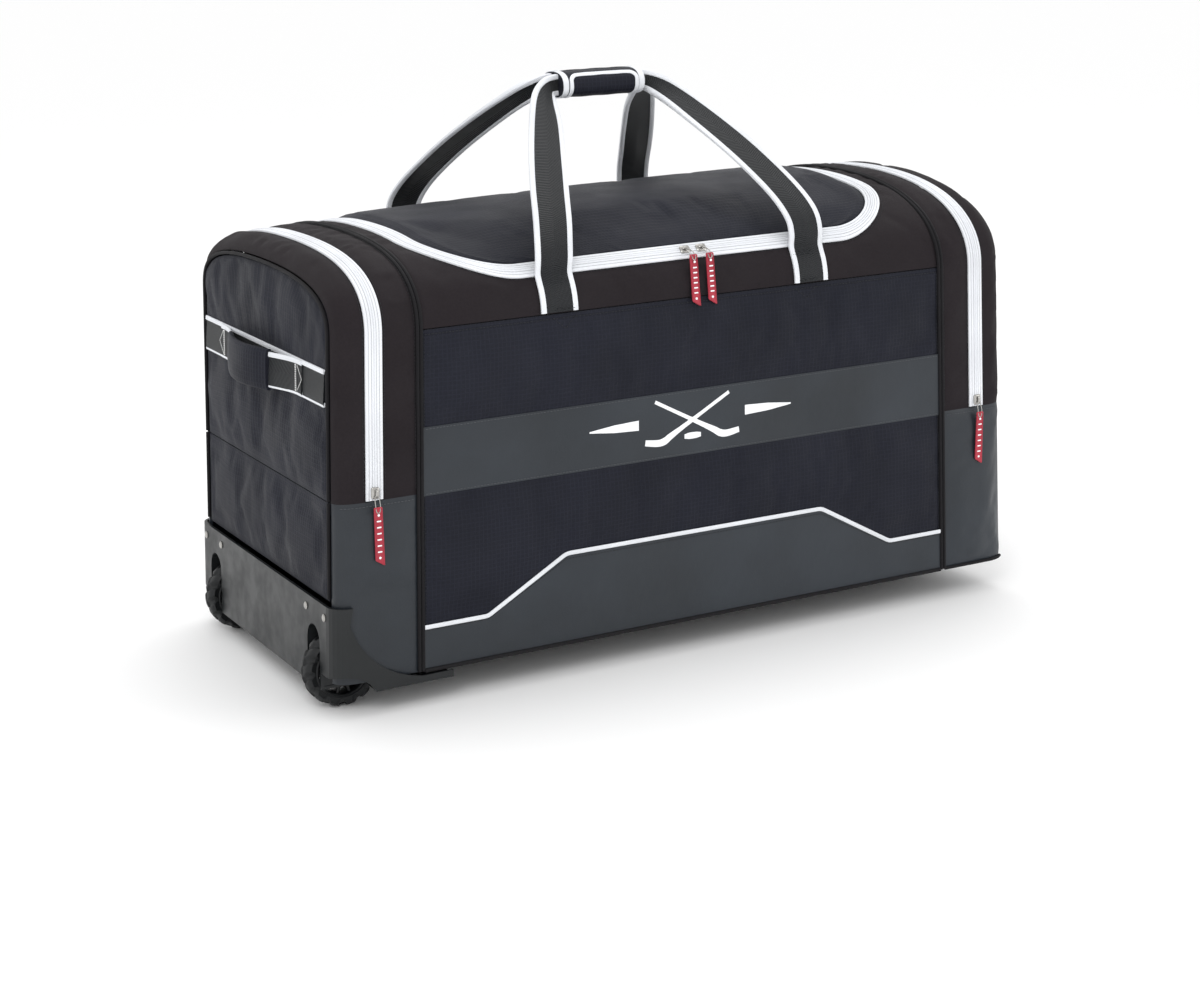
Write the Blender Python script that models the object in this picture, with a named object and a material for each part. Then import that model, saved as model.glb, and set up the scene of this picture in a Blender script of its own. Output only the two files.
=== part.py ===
"""Wheeled hockey equipment bag: a boxy fabric holdall with two end pockets, a zipped lid,
carry handles, a moulded wheel guard and two wheels.

Metres, +Z up. X runs along the bag, the wheels are at its -X end and its front faces -Y.
The floor is z = 0.
Each sub-part is one named object, and hidden wire objects are the tools that cut them.
"""

import math

import bpy
from mathutils import Vector

# ---------------------------------------------------------------- driving dimensions
GAP = 0.0003  # clearance between touching pieces
CENTRE_X = 0.009  # the bag's middle: the wheels' overhang puts the whole box's middle at x = 0
HALF_LENGTH = 0.470
HALF_WIDTH = 0.220
FOOT_Z = 0.041  # bottom seam of the fabric
SHOULDER_Z = 0.435  # where the flat front turns into the arched top
CREST_Z = 0.531  # top of the arch at the bag's middle
CREST_SLOPE = 0.022  # the crest climbs this much per metre towards +X
CREST_DROP = 0.038  # and falls with the square of x
TAPER = 0.10  # lengths shrink by this much per metre of height
TAPER_BASE_Z = 0.030
END_ROUND = 0.030  # length of the rounded edge between gusset and end face
END_INSET = 0.018  # how far that edge comes in

FABRIC = 0.005  # padded fabric wall
TRIM = 0.0018  # tape, webbing or coated overlay

SEAM_X = 0.367  # gusset seam, each side of the middle
END_ZIP_X = 0.4235
ZIP_HALF = 0.0105  # one zip tape's width
END_ZIP_Z = 0.250  # foot of the end zips, and the fold line of the end flaps

BAND_Z = (0.247, 0.3255)  # coated band across the front
SKIRT_LOW, SKIRT_HIGH = 0.092, 0.150  # top edge of the coated skirt, at its ends and in its middle
SKIRT_RAMP = (0.180, 0.283)  # the edge ramps down between these distances from the middle
PIPING = 0.0045

LID_X = (-0.306, 0.324)  # lid zip's two sides
LID_CORNER = 0.100
LID_Q = 0.67  # arch parameter of the lid's zip at the front, and of its fold at the back
PLAN_SLOPE = 0.74  # plan width of a strip that lies on the shoulder, per unit of its own width
TAPE_Q = 0.050  # arch parameter that one zip tape's width takes up there
SLIT_Q = 0.0016  # arch parameter of the clearance there

STRAP_X = 0.170
STRAP_WIDTH = 0.047
HANDLE_PIVOT = (0.2075, 0.4795)  # y and z where the free strap leaves its stitched foot
GRIP_HALF = 0.055
GRIP_Z = (0.652, 0.684)
GRIP_DEPTH = 0.028
GRIP_CORE = (0.0125, 0.0040)  # far and near side of the folded webbing inside the wrap, from y = 0
GRIP_CORE_HEIGHT = 0.026

WHEEL_X, WHEEL_Y = -0.434, 0.163  # the wheels' axes, in world x
WHEEL_R = 0.045
TYRE_WIDTH, HUB_WIDTH = 0.028, 0.022
TYRE_INNER = 0.033
AXLE_R, BORE_R = 0.0040, 0.0042
SLOT_HALF = 0.0185
SLOT_TOP = 0.102

GUARD_LOW, GUARD_HIGH = 0.030, 0.132
GUARD_END_X, GUARD_TOE_X = -0.4755, -0.3285
GUARD_WALL = 0.0034
POCKET_BACK_X = -0.384
RIVET_Y, RIVET_Z = (0.142, 0.196), 0.118
RIVET_R = 0.0022

GRAB_Z = (0.356, 0.398)
GRAB_TACK_Y = 0.118
GRAB_BULGE = 0.026

MAIN_SLIDER_X = (0.0085, 0.0305)
LID_SLOPE = 47.0  # degrees that the skin tips back from upright at the lid's front zip
SLIDER_LENGTH, SLIDER_WIDTH = 0.0130, 0.0105
SLIDER_GAP, SLIDER_TOP = 0.0010, 0.0052  # how far a slider stands off its zip
MAIN_PULL, END_PULL = 0.0440, 0.0640  # lengths of the tabs below their links
PULL_WIDTH, PULL_SLANT = 0.0110, 0.006

MATERIALS = {  # colour, roughness, metallic
    "plain_fabric": ((0.040, 0.032, 0.034), 0.85, 0.0),
    "ripstop_fabric": ((0.028, 0.032, 0.047), 0.75, 0.0),
    "coated_fabric": ((0.043, 0.051, 0.063), 0.45, 0.0),
    "white_tape": ((0.86, 0.87, 0.90), 0.80, 0.0),
    "webbing": ((0.018, 0.020, 0.022), 0.80, 0.0),
    "guard_plastic": ((0.045, 0.053, 0.053), 0.50, 0.0),
    "wheel_plastic": ((0.012, 0.013, 0.014), 0.45, 0.0),
    "tyre_rubber": ((0.016, 0.017, 0.018), 0.70, 0.0),
    "steel": ((0.62, 0.63, 0.64), 0.30, 1.0),
    "nickel": ((0.70, 0.71, 0.72), 0.25, 1.0),
    "red_rubber": ((0.48, 0.050, 0.075), 0.60, 0.0),
    "board": ((0.030, 0.030, 0.030), 0.90, 0.0),
    "lining": ((0.025, 0.025, 0.028), 0.90, 0.0),
}


# ---------------------------------------------------------------- objects and meshes
def clear_scene():
    for obj in list(bpy.data.objects):
        bpy.data.objects.remove(obj, do_unlink=True)


def material(name):
    found = bpy.data.materials.get(name)
    if found:
        return found
    colour, roughness, metallic = MATERIALS[name]
    made = bpy.data.materials.new(name)
    made.use_nodes = True
    shader = made.node_tree.nodes["Principled BSDF"]
    shader.inputs["Base Color"].default_value = (*colour, 1.0)
    shader.inputs["Roughness"].default_value = roughness
    shader.inputs["Metallic"].default_value = metallic
    return made


def mesh_object(name, points, faces, finish=None, origin=(0.0, 0.0, 0.0), smooth=False):
    """An object whose points are given in the bag's frame and stored about its own origin."""
    origin = Vector(origin)
    mesh = bpy.data.meshes.new(name)
    mesh.from_pydata([Vector(p) - origin for p in points], [], faces)
    mesh.validate()
    obj = bpy.data.objects.new(name, mesh)
    bpy.context.scene.collection.objects.link(obj)
    obj.location = origin
    if finish:
        mesh.materials.append(material(finish))
    if smooth:
        mesh.shade_smooth()
        mesh.set_sharp_from_angle(angle=math.radians(35))
    return obj


def signed_volume(points, faces):
    total = 0.0
    for face in faces:
        first = points[face[0]]
        for left, right in zip(face[1:-1], face[2:]):
            total += first.dot(points[left].cross(points[right]))
    return total


def loft(name, rings, finish=None, looped=False, nominal=False, **options):
    """A closed solid through rings of equally many points.

    Looped joins the last ring to the first. Nominal says that x still has to lean in.
    """
    count = len(rings[0])
    points = [Vector(p) for ring in rings for p in ring]
    if nominal:
        points = [Vector((lean(p.x, p.z), p.y, p.z)) for p in points]
    faces = []
    for i in range(len(rings) if looped else len(rings) - 1):
        low, high = i * count, ((i + 1) % len(rings)) * count
        for j in range(count):
            k = (j + 1) % count
            faces.append((low + j, low + k, high + k, high + j))
    if not looped:
        faces.append(tuple(range(count))[::-1])
        faces.append(tuple(range(len(points) - count, len(points))))
    if signed_volume(points, faces) < 0:
        faces = [face[::-1] for face in faces]
    return mesh_object(name, points, faces, finish, **options)


def prism(name, outline, axis, low, high, finish=None, **options):
    """An outline in the plane across the axis, extruded along it from low to high."""

    def place(pair, along):
        values = list(pair)
        values.insert("xyz".index(axis), along)
        return values

    rings = [[place(p, along) for p in outline] for along in (low, high)]
    return loft(name, rings, finish, **options)


def box(name, low, high, finish=None, **options):
    corners = [(low[0], low[1]), (high[0], low[1]), (high[0], high[1]), (low[0], high[1])]
    return prism(name, corners, "z", low[2], high[2], finish, **options)


def boolean(obj, tool, operation):
    modifier = obj.modifiers.new(tool.name, "BOOLEAN")
    modifier.operation = operation
    modifier.solver = "EXACT"
    modifier.object = tool
    tool.hide_render = True
    tool.display_type = "WIRE"


def cut(obj, tool):
    boolean(obj, tool, "DIFFERENCE")


def keep_inside(obj, tool):
    boolean(obj, tool, "INTERSECT")


def add(obj, tool):
    boolean(obj, tool, "UNION")


def bevel(obj, width, segments=2):
    modifier = obj.modifiers.new("bevel", "BEVEL")
    modifier.width = width
    modifier.segments = segments
    modifier.limit_method = "ANGLE"
    modifier.angle_limit = math.radians(40)


def spread(low, high, count):
    return [low + (high - low) * i / (count - 1) for i in range(count)]


def arc(centre, radius, start, end, count):
    """Points on a circle's arc, angles in degrees."""
    angles = [math.radians(a) for a in spread(start, end, count)]
    return [(centre[0] + radius * math.cos(a), centre[1] + radius * math.sin(a)) for a in angles]


def smooth_path(points, steps):
    """A Catmull-Rom curve through rows of numbers, with this many steps between neighbours."""
    rows = [points[0]] + list(points) + [points[-1]]
    path = []
    for stretch in zip(rows, rows[1:], rows[2:], rows[3:]):
        for step in range(steps):
            t = step / steps
            row = []
            for p, q, r, s in zip(*stretch):
                slope, bend, twist = r - p, 2 * p - 5 * q + 4 * r - s, 3 * q - p - 3 * r + s
                row.append(0.5 * (2 * q + slope * t + bend * t * t + twist * t**3))
            path.append(row)
    path.append(list(points[-1]))
    return path


# ---------------------------------------------------------------- the bag's skin
def lean(x, z):
    """World x of a nominal distance x from the bag's middle: the ends lean in towards the top."""
    return CENTRE_X + x * (1 - TAPER * (z - TAPER_BASE_Z))


def crest(x):
    return CREST_Z + CREST_SLOPE * x - CREST_DROP * x * x


def arch(q, x):
    """The skin's (y, z) where q runs from -2 at the front's foot to 2 at the back's.

    The shoulders are at -1 and 1 and the crest is at 0.
    """
    side = -1.0 if q < 0 else 1.0
    reach = abs(q)
    if reach >= 1:
        return side * HALF_WIDTH, SHOULDER_Z - (reach - 1) * (SHOULDER_Z - FOOT_Z)
    t = 1 - reach
    top = crest(x)
    ends = ((HALF_WIDTH, SHOULDER_Z), (HALF_WIDTH, SHOULDER_Z + 0.06), (0.68 * HALF_WIDTH, top), (0.0, top))
    weights = ((1 - t) ** 3, 3 * (1 - t) ** 2 * t, 3 * (1 - t) * t * t, t**3)
    y = sum(w * p[0] for w, p in zip(weights, ends))
    z = sum(w * p[1] for w, p in zip(weights, ends))
    return side * y, z


def skin(x, q, depth=0.0):
    """A point at this depth under the skin, or over it where depth is negative."""
    over = max(0.0, (abs(x) - (HALF_LENGTH - END_ROUND)) / END_ROUND)
    inset = END_INSET * (1 - math.sqrt(max(0.0, 1 - over * over)))
    step = 0.002
    y, z = arch(q, x)
    before, after = arch(q - step, x), arch(q + step, x)
    run, rise = after[0] - before[0], after[1] - before[1]
    length = math.hypot(run, rise)
    total = depth + inset
    y += total * rise / length
    z -= total * run / length
    return lean(x, z), y, z


def q_of(z):
    """Arch parameter of a height on the flat front."""
    return -1 - (SHOULDER_Z - z) / (SHOULDER_Z - FOOT_Z)


def patch(name, xs, qs, outer, inner, finish=None, **options):
    """A curved sheet over part of the skin, between two depths."""
    rings = []
    for x in xs:
        rings.append([skin(x, q, outer) for q in qs] + [skin(x, q, inner) for q in reversed(qs)])
    return loft(name, rings, finish, smooth=True, **options)


def front_plate(name, outline, low, high, finish):
    """A flat overlay on the front: nominal (x, z) outline, standing from low to high in front of the skin."""
    rings = [[(x, -HALF_WIDTH - out, z) for x, z in outline] for out in (low, high)]
    return loft(name, rings, finish, nominal=True)


# ---------------------------------------------------------------- main compartment
def lid_outline(offset):
    """Plan outline (x, y) this far outside the lid's zip. It runs past the fold at the back."""
    low, high = LID_X[0] - offset, LID_X[1] + offset
    front = arch(-LID_Q, 0.0)[0] - PLAN_SLOPE * offset
    back = HALF_WIDTH + 0.05
    radius = LID_CORNER + offset
    left = arc((low + radius, front + radius), radius, 180, 270, 13)
    right = arc((high - radius, front + radius), radius, 270, 360, 13)
    return [(low, back)] + left + right + [(high, back)]


def lid_tool(name, offset):
    return prism(name, lid_outline(offset), "z", 0.40, 0.62)


def make_main_walls():
    flat = [-2 + SLIT_Q, -1 - SLIT_Q]
    sides = [-SEAM_X + GAP, SEAM_X - GAP]
    patch("front_panel", sides, flat, 0.0, FABRIC, "ripstop_fabric")
    patch("back_panel", sides, [-q for q in reversed(flat)], 0.0, FABRIC, "ripstop_fabric")

    reach = SEAM_X - 0.001
    band = [(-reach, BAND_Z[0]), (reach, BAND_Z[0]), (reach, BAND_Z[1]), (-reach, BAND_Z[1])]
    front_plate("front_band", band, GAP, GAP + 0.0012, "coated_fabric")

    near, far = SKIRT_RAMP
    edge = [(-reach, SKIRT_LOW), (-far, SKIRT_LOW), (-near, SKIRT_HIGH), (near, SKIRT_HIGH)]
    edge += [(far, SKIRT_LOW), (reach, SKIRT_LOW)]
    foot = FOOT_Z + 0.004
    skirt = [(-reach, foot), (reach, foot)] + edge[::-1]
    front_plate("front_skirt", skirt, GAP, GAP + 0.0012, "coated_fabric")
    upper = [(x, z + GAP + PIPING) for x, z in edge]
    lower = [(x, z + GAP) for x, z in edge]
    front_plate("front_piping", lower + upper[::-1], GAP, GAP + TRIM, "white_tape")

    board_z = FOOT_Z + FABRIC + GAP
    for name, low, thick, clear, finish in (
        ("bottom_panel", FOOT_Z, FABRIC, FABRIC + 2 * GAP, "coated_fabric"),
        ("base_board", board_z, 0.004, FABRIC + 0.004, "board"),
    ):
        stations = [-0.382, HALF_LENGTH - END_ROUND, 0.4500, 0.4590, HALF_LENGTH - FABRIC - 0.001]
        edge = [(x, skin(x, -2, clear)[1]) for x in stations]
        outline = edge + [(x, -y) for x, y in reversed(edge)]
        prism(name, outline, "z", low, low + thick, finish, nominal=True)


def make_dividers():
    """The two inner walls between the main compartment and the end pockets."""
    low = FOOT_Z + FABRIC + 0.005
    clear = FABRIC + 2 * GAP
    for name, side in (("left_divider", -1), ("right_divider", 1)):
        rings = []
        for x in (side * (SEAM_X + 0.0045), side * (SEAM_X + 0.0075)):
            ring = [skin(x, q, clear) for q in spread(-1.97, 1.97, 41)]
            ring[0] = (lean(x, low), ring[0][1], low)
            ring[-1] = (lean(x, low), ring[-1][1], low)
            rings.append(ring)
        loft(name, rings, "lining")


def make_top():
    """The plain fabric round the lid: a front and a back strip, and the sides with their hollow corners."""
    along = spread(-SEAM_X + GAP, SEAM_X - GAP, 9)
    zip_foot = -LID_Q - TAPE_Q - SLIT_Q
    patch("top_front_panel", along, spread(-1 + SLIT_Q, zip_foot, 6), 0.0, FABRIC, "plain_fabric")
    patch("top_back_panel", along, spread(LID_Q + SLIT_Q, 1 - SLIT_Q, 6), 0.0, FABRIC, "plain_fabric")
    over = spread(zip_foot + SLIT_Q, LID_Q - SLIT_Q, 20)
    tool = lid_tool("surround_tool", ZIP_HALF + GAP)
    sides = (("top_left_panel", -SEAM_X + GAP, -0.215), ("top_right_panel", 0.215, SEAM_X - GAP))
    for name, low, high in sides:
        cut(patch(name, spread(low, high, 5), over, 0.0, FABRIC, "plain_fabric"), tool)


def make_lid(pivot):
    along = spread(-0.345, 0.345, 11)
    across = spread(-LID_Q - TAPE_Q, LID_Q - 3 * SLIT_Q, 22)
    body_tape = patch("main_zip_tape_body", along, across, 0.0, TRIM, "white_tape")
    keep_inside(body_tape, lid_tool("tape_outer_tool", ZIP_HALF))
    cut(body_tape, lid_tool("tape_middle_tool", GAP / 2))

    lid_tape = patch("main_zip_tape_lid", along, across, 0.0, TRIM, "white_tape", origin=pivot)
    keep_inside(lid_tape, lid_tool("tape_lid_tool", -GAP / 2))
    cut(lid_tape, lid_tool("tape_inner_tool", -ZIP_HALF))
    panel = patch("lid_panel", along, across, 0.0, FABRIC, "ripstop_fabric", origin=pivot)
    keep_inside(panel, lid_tool("lid_edge_tool", -ZIP_HALF - GAP))


# ---------------------------------------------------------------- ends
def make_gussets_and_ends():
    fold = q_of(END_ZIP_Z)
    over = spread(fold + SLIT_Q, -fold - SLIT_Q, 33)
    foot = spread(-2 + SLIT_Q, fold - SLIT_Q, 2)
    body_tape = (END_ZIP_X - ZIP_HALF, END_ZIP_X - GAP / 2)
    flap_tape = (END_ZIP_X + GAP / 2, END_ZIP_X + ZIP_HALF)
    rim = [END_ZIP_X + ZIP_HALF + GAP, 0.4400, 0.4500, 0.4590, 0.4655, 0.4690, HALF_LENGTH]
    corner = [SEAM_X + GAP, 0.4400, 0.4500, 0.4590, 0.4655, 0.4690, HALF_LENGTH]
    for end, side in (("left", -1), ("right", 1)):
        pivot = (lean(side * HALF_LENGTH, END_ZIP_Z), 0.0, END_ZIP_Z)

        def at(values, side=side):
            return sorted(side * v for v in values)

        gusset = at((SEAM_X + GAP, END_ZIP_X - ZIP_HALF - GAP))
        patch(f"{end}_gusset", gusset, over, 0.0, FABRIC, "plain_fabric")
        patch(f"{end}_zip_tape_body", at(body_tape), over, 0.0, TRIM, "white_tape")
        patch(f"{end}_zip_tape_flap", at(flap_tape), over, 0.0, TRIM, "white_tape", origin=pivot)
        patch(f"{end}_end_rim", at(rim), over, 0.0, FABRIC, "plain_fabric", origin=pivot)
        patch(f"{end}_corner_front", at(corner), foot, 0.0, FABRIC, "coated_fabric")
        patch(f"{end}_corner_back", at(corner), [-q for q in reversed(foot)], 0.0, FABRIC, "coated_fabric")

        inside = FABRIC + GAP
        rings = [[skin(x, q, inside) for q in over] for x in at((HALF_LENGTH - FABRIC, HALF_LENGTH))]
        loft(f"{end}_end_panel", rings, "ripstop_fabric", origin=pivot)
        lower_z = GUARD_HIGH + 0.004 if side < 0 else FOOT_Z + 0.0005
        half = HALF_WIDTH - END_INSET - inside
        rings = []
        upper_z = END_ZIP_Z - 2 * GAP
        for x in at((HALF_LENGTH - FABRIC, HALF_LENGTH)):
            corners = ((-half, lower_z), (half, lower_z), (half, upper_z), (-half, upper_z))
            rings.append([(x, y, z) for y, z in corners])
        loft(f"{end}_end_panel_lower", rings, "ripstop_fabric", nominal=True)
    return [(lean(side * HALF_LENGTH, END_ZIP_Z), 0.0, END_ZIP_Z) for side in (-1, 1)]


def make_grab_handle(pivot):
    """Webbing across the left end, with a padded loop tacked over it."""
    face = -HALF_LENGTH - GAP

    def plate(name, out_low, out_high, half, finish):
        rings = []
        for x in (face - out_high, face - out_low):
            corners = ((-half, GRAB_Z[0]), (half, GRAB_Z[0]), (half, GRAB_Z[1]), (-half, GRAB_Z[1]))
            rings.append([(x, y, z) for y, z in corners])
        loft(name, rings, finish, nominal=True, origin=pivot)

    plate("grab_handle_base", 0.0, TRIM, 0.192, "webbing")

    def bulge(y):
        reach = min(1.0, abs(y) / GRAB_TACK_Y)
        return GRAB_BULGE * (1 - reach * reach) ** 2

    def loop(name, half, inner, outer, low, high, finish, count):
        rings = []
        for y in spread(-half, half, count):
            out = face - TRIM - GAP - bulge(y)
            corners = ((out - inner, low), (out - outer, low), (out - outer, high), (out - inner, high))
            rings.append([(x, y, z) for x, z in corners])
        return loft(name, rings, finish, nominal=True, smooth=True, origin=pivot)

    low, high = GRAB_Z[0] + 0.001, GRAB_Z[1] - 0.001
    loop("grab_handle_strap", GRAB_TACK_Y + 0.014, 0.0, 0.0022, low, high, "webbing", 23)
    pad = loop("grab_handle_pad", 0.062, -0.0035, 0.0060, low - 0.0035, high + 0.0035, "coated_fabric", 11)
    core = loop("grab_pad_tool", 0.070, -GAP, 0.0022 + GAP, low - GAP, high + GAP, None, 13)
    cut(pad, core)


# ---------------------------------------------------------------- carry handles
def ribbon_rings(path):
    """Cross-sections of a strap along a path of x, y, z, face angle, width and thickness.

    The face angle tips the strap's face upward from -Y.
    """
    rings = []
    for i, (x, y, z, angle, width, thick) in enumerate(path):
        before, after = path[max(0, i - 1)], path[min(len(path) - 1, i + 1)]
        along = (Vector(after[:3]) - Vector(before[:3])).normalized()
        face = Vector((0.0, -math.cos(math.radians(angle)), math.sin(math.radians(angle))))
        across = along.cross(face).normalized() * width / 2
        up = across.cross(along).normalized() * thick / 2
        centre = Vector((x, y, z))
        rings.append([centre - across - up, centre + across - up, centre + across + up, centre - across + up])
    return rings


def make_carry_handle(end, mirror):
    """One carry strap: two legs rise from the stitched bases to the folded run inside the wrap."""
    pivot = (0.0, mirror * HANDLE_PIVOT[0], HANDLE_PIVOT[1])
    leg = [  # distance from the middle, y, z, face angle, width, thickness
        (STRAP_X, -0.2085, 0.4805, 20, STRAP_WIDTH, 0.003),
        (0.1695, -0.2100, 0.4960, 8, STRAP_WIDTH, 0.003),
        (0.1670, -0.2050, 0.5150, 22, STRAP_WIDTH, 0.003),
        (0.1590, -0.1880, 0.5380, 38, STRAP_WIDTH, 0.003),
        (0.1460, -0.1580, 0.5650, 45, STRAP_WIDTH, 0.003),
        (0.1270, -0.1180, 0.5970, 44, 0.046, 0.003),
        (0.1030, -0.0700, 0.6310, 38, 0.042, 0.004),
        (0.0850, -0.0330, 0.6540, 20, 0.034, 0.006),
        (0.0700, -0.0130, 0.6655, 4, GRIP_CORE_HEIGHT, 0.008),
        (0.0580, -0.0083, 0.6680, 0, GRIP_CORE_HEIGHT, 0.008),
        (0.0450, -0.0083, 0.6680, 0, GRIP_CORE_HEIGHT, 0.008),
    ]
    half = smooth_path(leg, 3)
    path = [(-row[0], *row[1:]) for row in half] + half[::-1]
    rings = [[(p.x, -mirror * p.y, p.z) for p in ring] for ring in ribbon_rings(path)]
    loft(f"{end}_handle_strap", rings, "webbing", smooth=True, origin=pivot)

    near, far = sorted((mirror * 0.0012, mirror * GRIP_DEPTH))
    low, high = (-GRIP_HALF, near, GRIP_Z[0]), (GRIP_HALF, far, GRIP_Z[1])
    wrap = box(f"{end}_handle_wrap", low, high, "ripstop_fabric", origin=pivot)
    bevel(wrap, 0.006, 3)
    core = sorted((mirror * (GRIP_CORE[0] + GAP), mirror * (GRIP_CORE[1] - GAP)))
    middle = 0.668
    half = GRIP_CORE_HEIGHT / 2 + GAP
    tool = box(f"{end}_wrap_tool", (-0.07, core[0], middle - half), (0.07, core[1], middle + half))
    cut(wrap, tool)


# ---------------------------------------------------------------- wheels and guard
def circle(radius, y, count):
    angles = [math.tau * i / count for i in range(count)]
    return [(radius * math.cos(a), y, radius * math.sin(a)) for a in angles]


def rod(name, profile, centre, count, finish=None, **options):
    """A solid turned about an axis along Y: profile of (radius, y)."""
    rings = [[Vector(centre) + Vector(p) for p in circle(radius, y, count)] for radius, y in profile]
    return loft(name, rings, finish, origin=centre, smooth=True, **options)


def ring(name, profile, centre, count, finish=None, **options):
    """A turned solid with a bore: its profile is a closed loop of (radius, y)."""
    rings = []
    for i in range(count):
        angle = math.tau * i / count
        spoke = Vector((math.cos(angle), 0.0, math.sin(angle)))
        rings.append([Vector(centre) + spoke * radius + Vector((0.0, y, 0.0)) for radius, y in profile])
    return loft(name, rings, finish, looped=True, origin=centre, smooth=True, **options)


def make_wheel(end, side):
    centre = (WHEEL_X, side * WHEEL_Y, WHEEL_R)
    half = TYRE_WIDTH / 2
    tread = [(TYRE_INNER + GAP, -half), (WHEEL_R - 0.004, -half), (WHEEL_R, -half + 0.006)]
    tread += [(WHEEL_R, half - 0.006), (WHEEL_R - 0.004, half), (TYRE_INNER + GAP, half)]
    ring(f"{end}_wheel_tyre", tread, centre, 36, "tyre_rubber")

    half = HUB_WIDTH / 2
    bush_r = 0.0062
    hub = ring(
        f"{end}_wheel_hub",
        [(bush_r + GAP, -half), (TYRE_INNER, -half), (TYRE_INNER, half), (bush_r + GAP, half)],
        centre,
        36,
        "wheel_plastic",
    )
    windows = 5
    for i in range(windows):
        middle = 90 + i * 360 / windows
        outline = arc((0, 0), 0.0285, middle - 25, middle + 25, 6)
        outline += arc((0, 0), 0.0130, middle + 16, middle - 16, 3)
        outline = [(centre[0] + x, centre[2] + z) for x, z in outline]
        cut(hub, prism(f"{end}_window_tool_{i}", outline, "y", centre[1] - 0.02, centre[1] + 0.02))

    length = SLOT_HALF - 0.0008
    ring(
        f"{end}_wheel_bush",
        [(BORE_R, -length), (bush_r, -length), (bush_r, length), (BORE_R, length)],
        centre,
        24,
        "steel",
    )
    wall = SLOT_HALF + GUARD_WALL + 0.0006
    head = wall + 0.0016
    rod(
        f"{end}_axle",
        [(0.0070, -head), (0.0070, -wall), (AXLE_R, -wall), (AXLE_R, wall), (0.0070, wall), (0.0070, head)],
        centre,
        24,
        "steel",
    )


def plan_outline(grow):
    """Plan (x, y) of the guard, grown outward: open ended at its toe, rounded at the bag's corners."""
    end, half, radius = GUARD_END_X - grow, HALF_WIDTH + 0.0035 + grow, 0.022 + grow
    front = arc((end + radius, radius - half), radius, 270, 180, 7)
    back = arc((end + radius, half - radius), radius, 180, 90, 7)
    return [(GUARD_TOE_X, -half)] + front + back + [(GUARD_TOE_X, half)]


def make_guard():
    """One moulding: end wall, two cheeks, floor, and a pocket round each wheel."""
    shell = prism("wheel_guard", plan_outline(0.0), "z", GUARD_LOW, GUARD_HIGH, "guard_plastic", nominal=True)
    inner = [(x + 0.02 if x == GUARD_TOE_X else x, y) for x, y in plan_outline(-GUARD_WALL)]
    floor_z = GUARD_LOW + GUARD_WALL
    cut(shell, prism("guard_inner_tool", inner, "z", floor_z, GUARD_HIGH + 0.02, nominal=True))

    sweep = arc((-0.352, 0.146), 0.109, 198, 262, 9)
    cheek = [(-0.4480, 0.150)] + sweep + [(-0.300, 0.0385), (-0.300, 0.150)]
    wall = SLOT_HALF + GUARD_WALL
    for end, side in (("front", -1), ("back", 1)):
        y = side * WHEEL_Y
        edges = sorted((side * 0.2150, side * 0.2400))
        cut(shell, prism(f"{end}_cheek_tool", cheek, "y", *edges, nominal=True))
        low = (GUARD_END_X + 0.001, y - wall, GUARD_LOW)
        high = (POCKET_BACK_X, y + wall, SLOT_TOP + GUARD_WALL)
        add(shell, box(f"{end}_pocket_tool", low, high, nominal=True))
        slot = [(y - SLOT_HALF, GUARD_LOW - 0.01), (y + SLOT_HALF, GUARD_LOW - 0.01)]
        slot += arc((y, SLOT_TOP - SLOT_HALF), SLOT_HALF, 0, 180, 9)
        cut(shell, prism(f"{end}_slot_tool", slot, "x", -0.50, POCKET_BACK_X - GUARD_WALL, nominal=True))
        bore_r = AXLE_R + GAP
        cut(shell, rod(f"{end}_bore_tool", [(bore_r, -0.03), (bore_r, 0.03)], (WHEEL_X, y, WHEEL_R), 24))
        notch = sorted((side * (WHEEL_Y + wall + 0.001), side * 0.24))
        round_cut = arc((-0.462, 0.008), 0.044, 0, 345, 24)
        cut(shell, prism(f"{end}_notch_tool", round_cut, "y", *notch, nominal=True))
    for y, tool in rivet_shanks("rivet_bore", RIVET_R + GAP, GUARD_END_X - 0.01, GUARD_END_X + 0.01):
        cut(shell, tool)


def rivet_shanks(name, radius, low, high):
    """A round bar along X at each rivet."""
    for i, y in enumerate([side * y for side in (-1, 1) for y in RIVET_Y]):
        outline = arc((y, RIVET_Z), radius, 0, 330, 12)
        yield y, prism(f"{name}_tool_{i}", outline, "x", low, high, nominal=True)


def make_rivets():
    """Four rivets through the guard's end wall, on the steel strip that backs them inside the bag."""
    inner = GUARD_END_X + GUARD_WALL + GAP
    reach = RIVET_Y[1] + 0.006
    low, high = (inner, -reach, RIVET_Z - 0.006), (inner + 0.0010, reach, RIVET_Z + 0.006)
    strip = box("guard_rivets", low, high, "nickel", nominal=True)
    outer = GUARD_END_X - GAP
    for y, shank in rivet_shanks("rivet_shank", RIVET_R, outer - 0.0004, inner + 0.0006):
        add(strip, shank)
        rings = []
        for radius, out in ((0.0046, 0.0), (0.0046, 0.0006), (0.0034, 0.0015), (0.0015, 0.0019)):
            rings.append([(outer - out, *p) for p in arc((y, RIVET_Z), radius, 0, 330, 12)])
        add(strip, loft(f"rivet_head_tool_{y:.2f}", rings, nominal=True))


def make_skid_foot():
    """The bar under the far end that keeps the bag level with its wheels."""
    low, high = (0.385, -0.070, 0.0), (0.435, 0.070, FOOT_Z - GAP)
    bevel(box("skid_foot", low, high, "guard_plastic"), 0.003)


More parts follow.
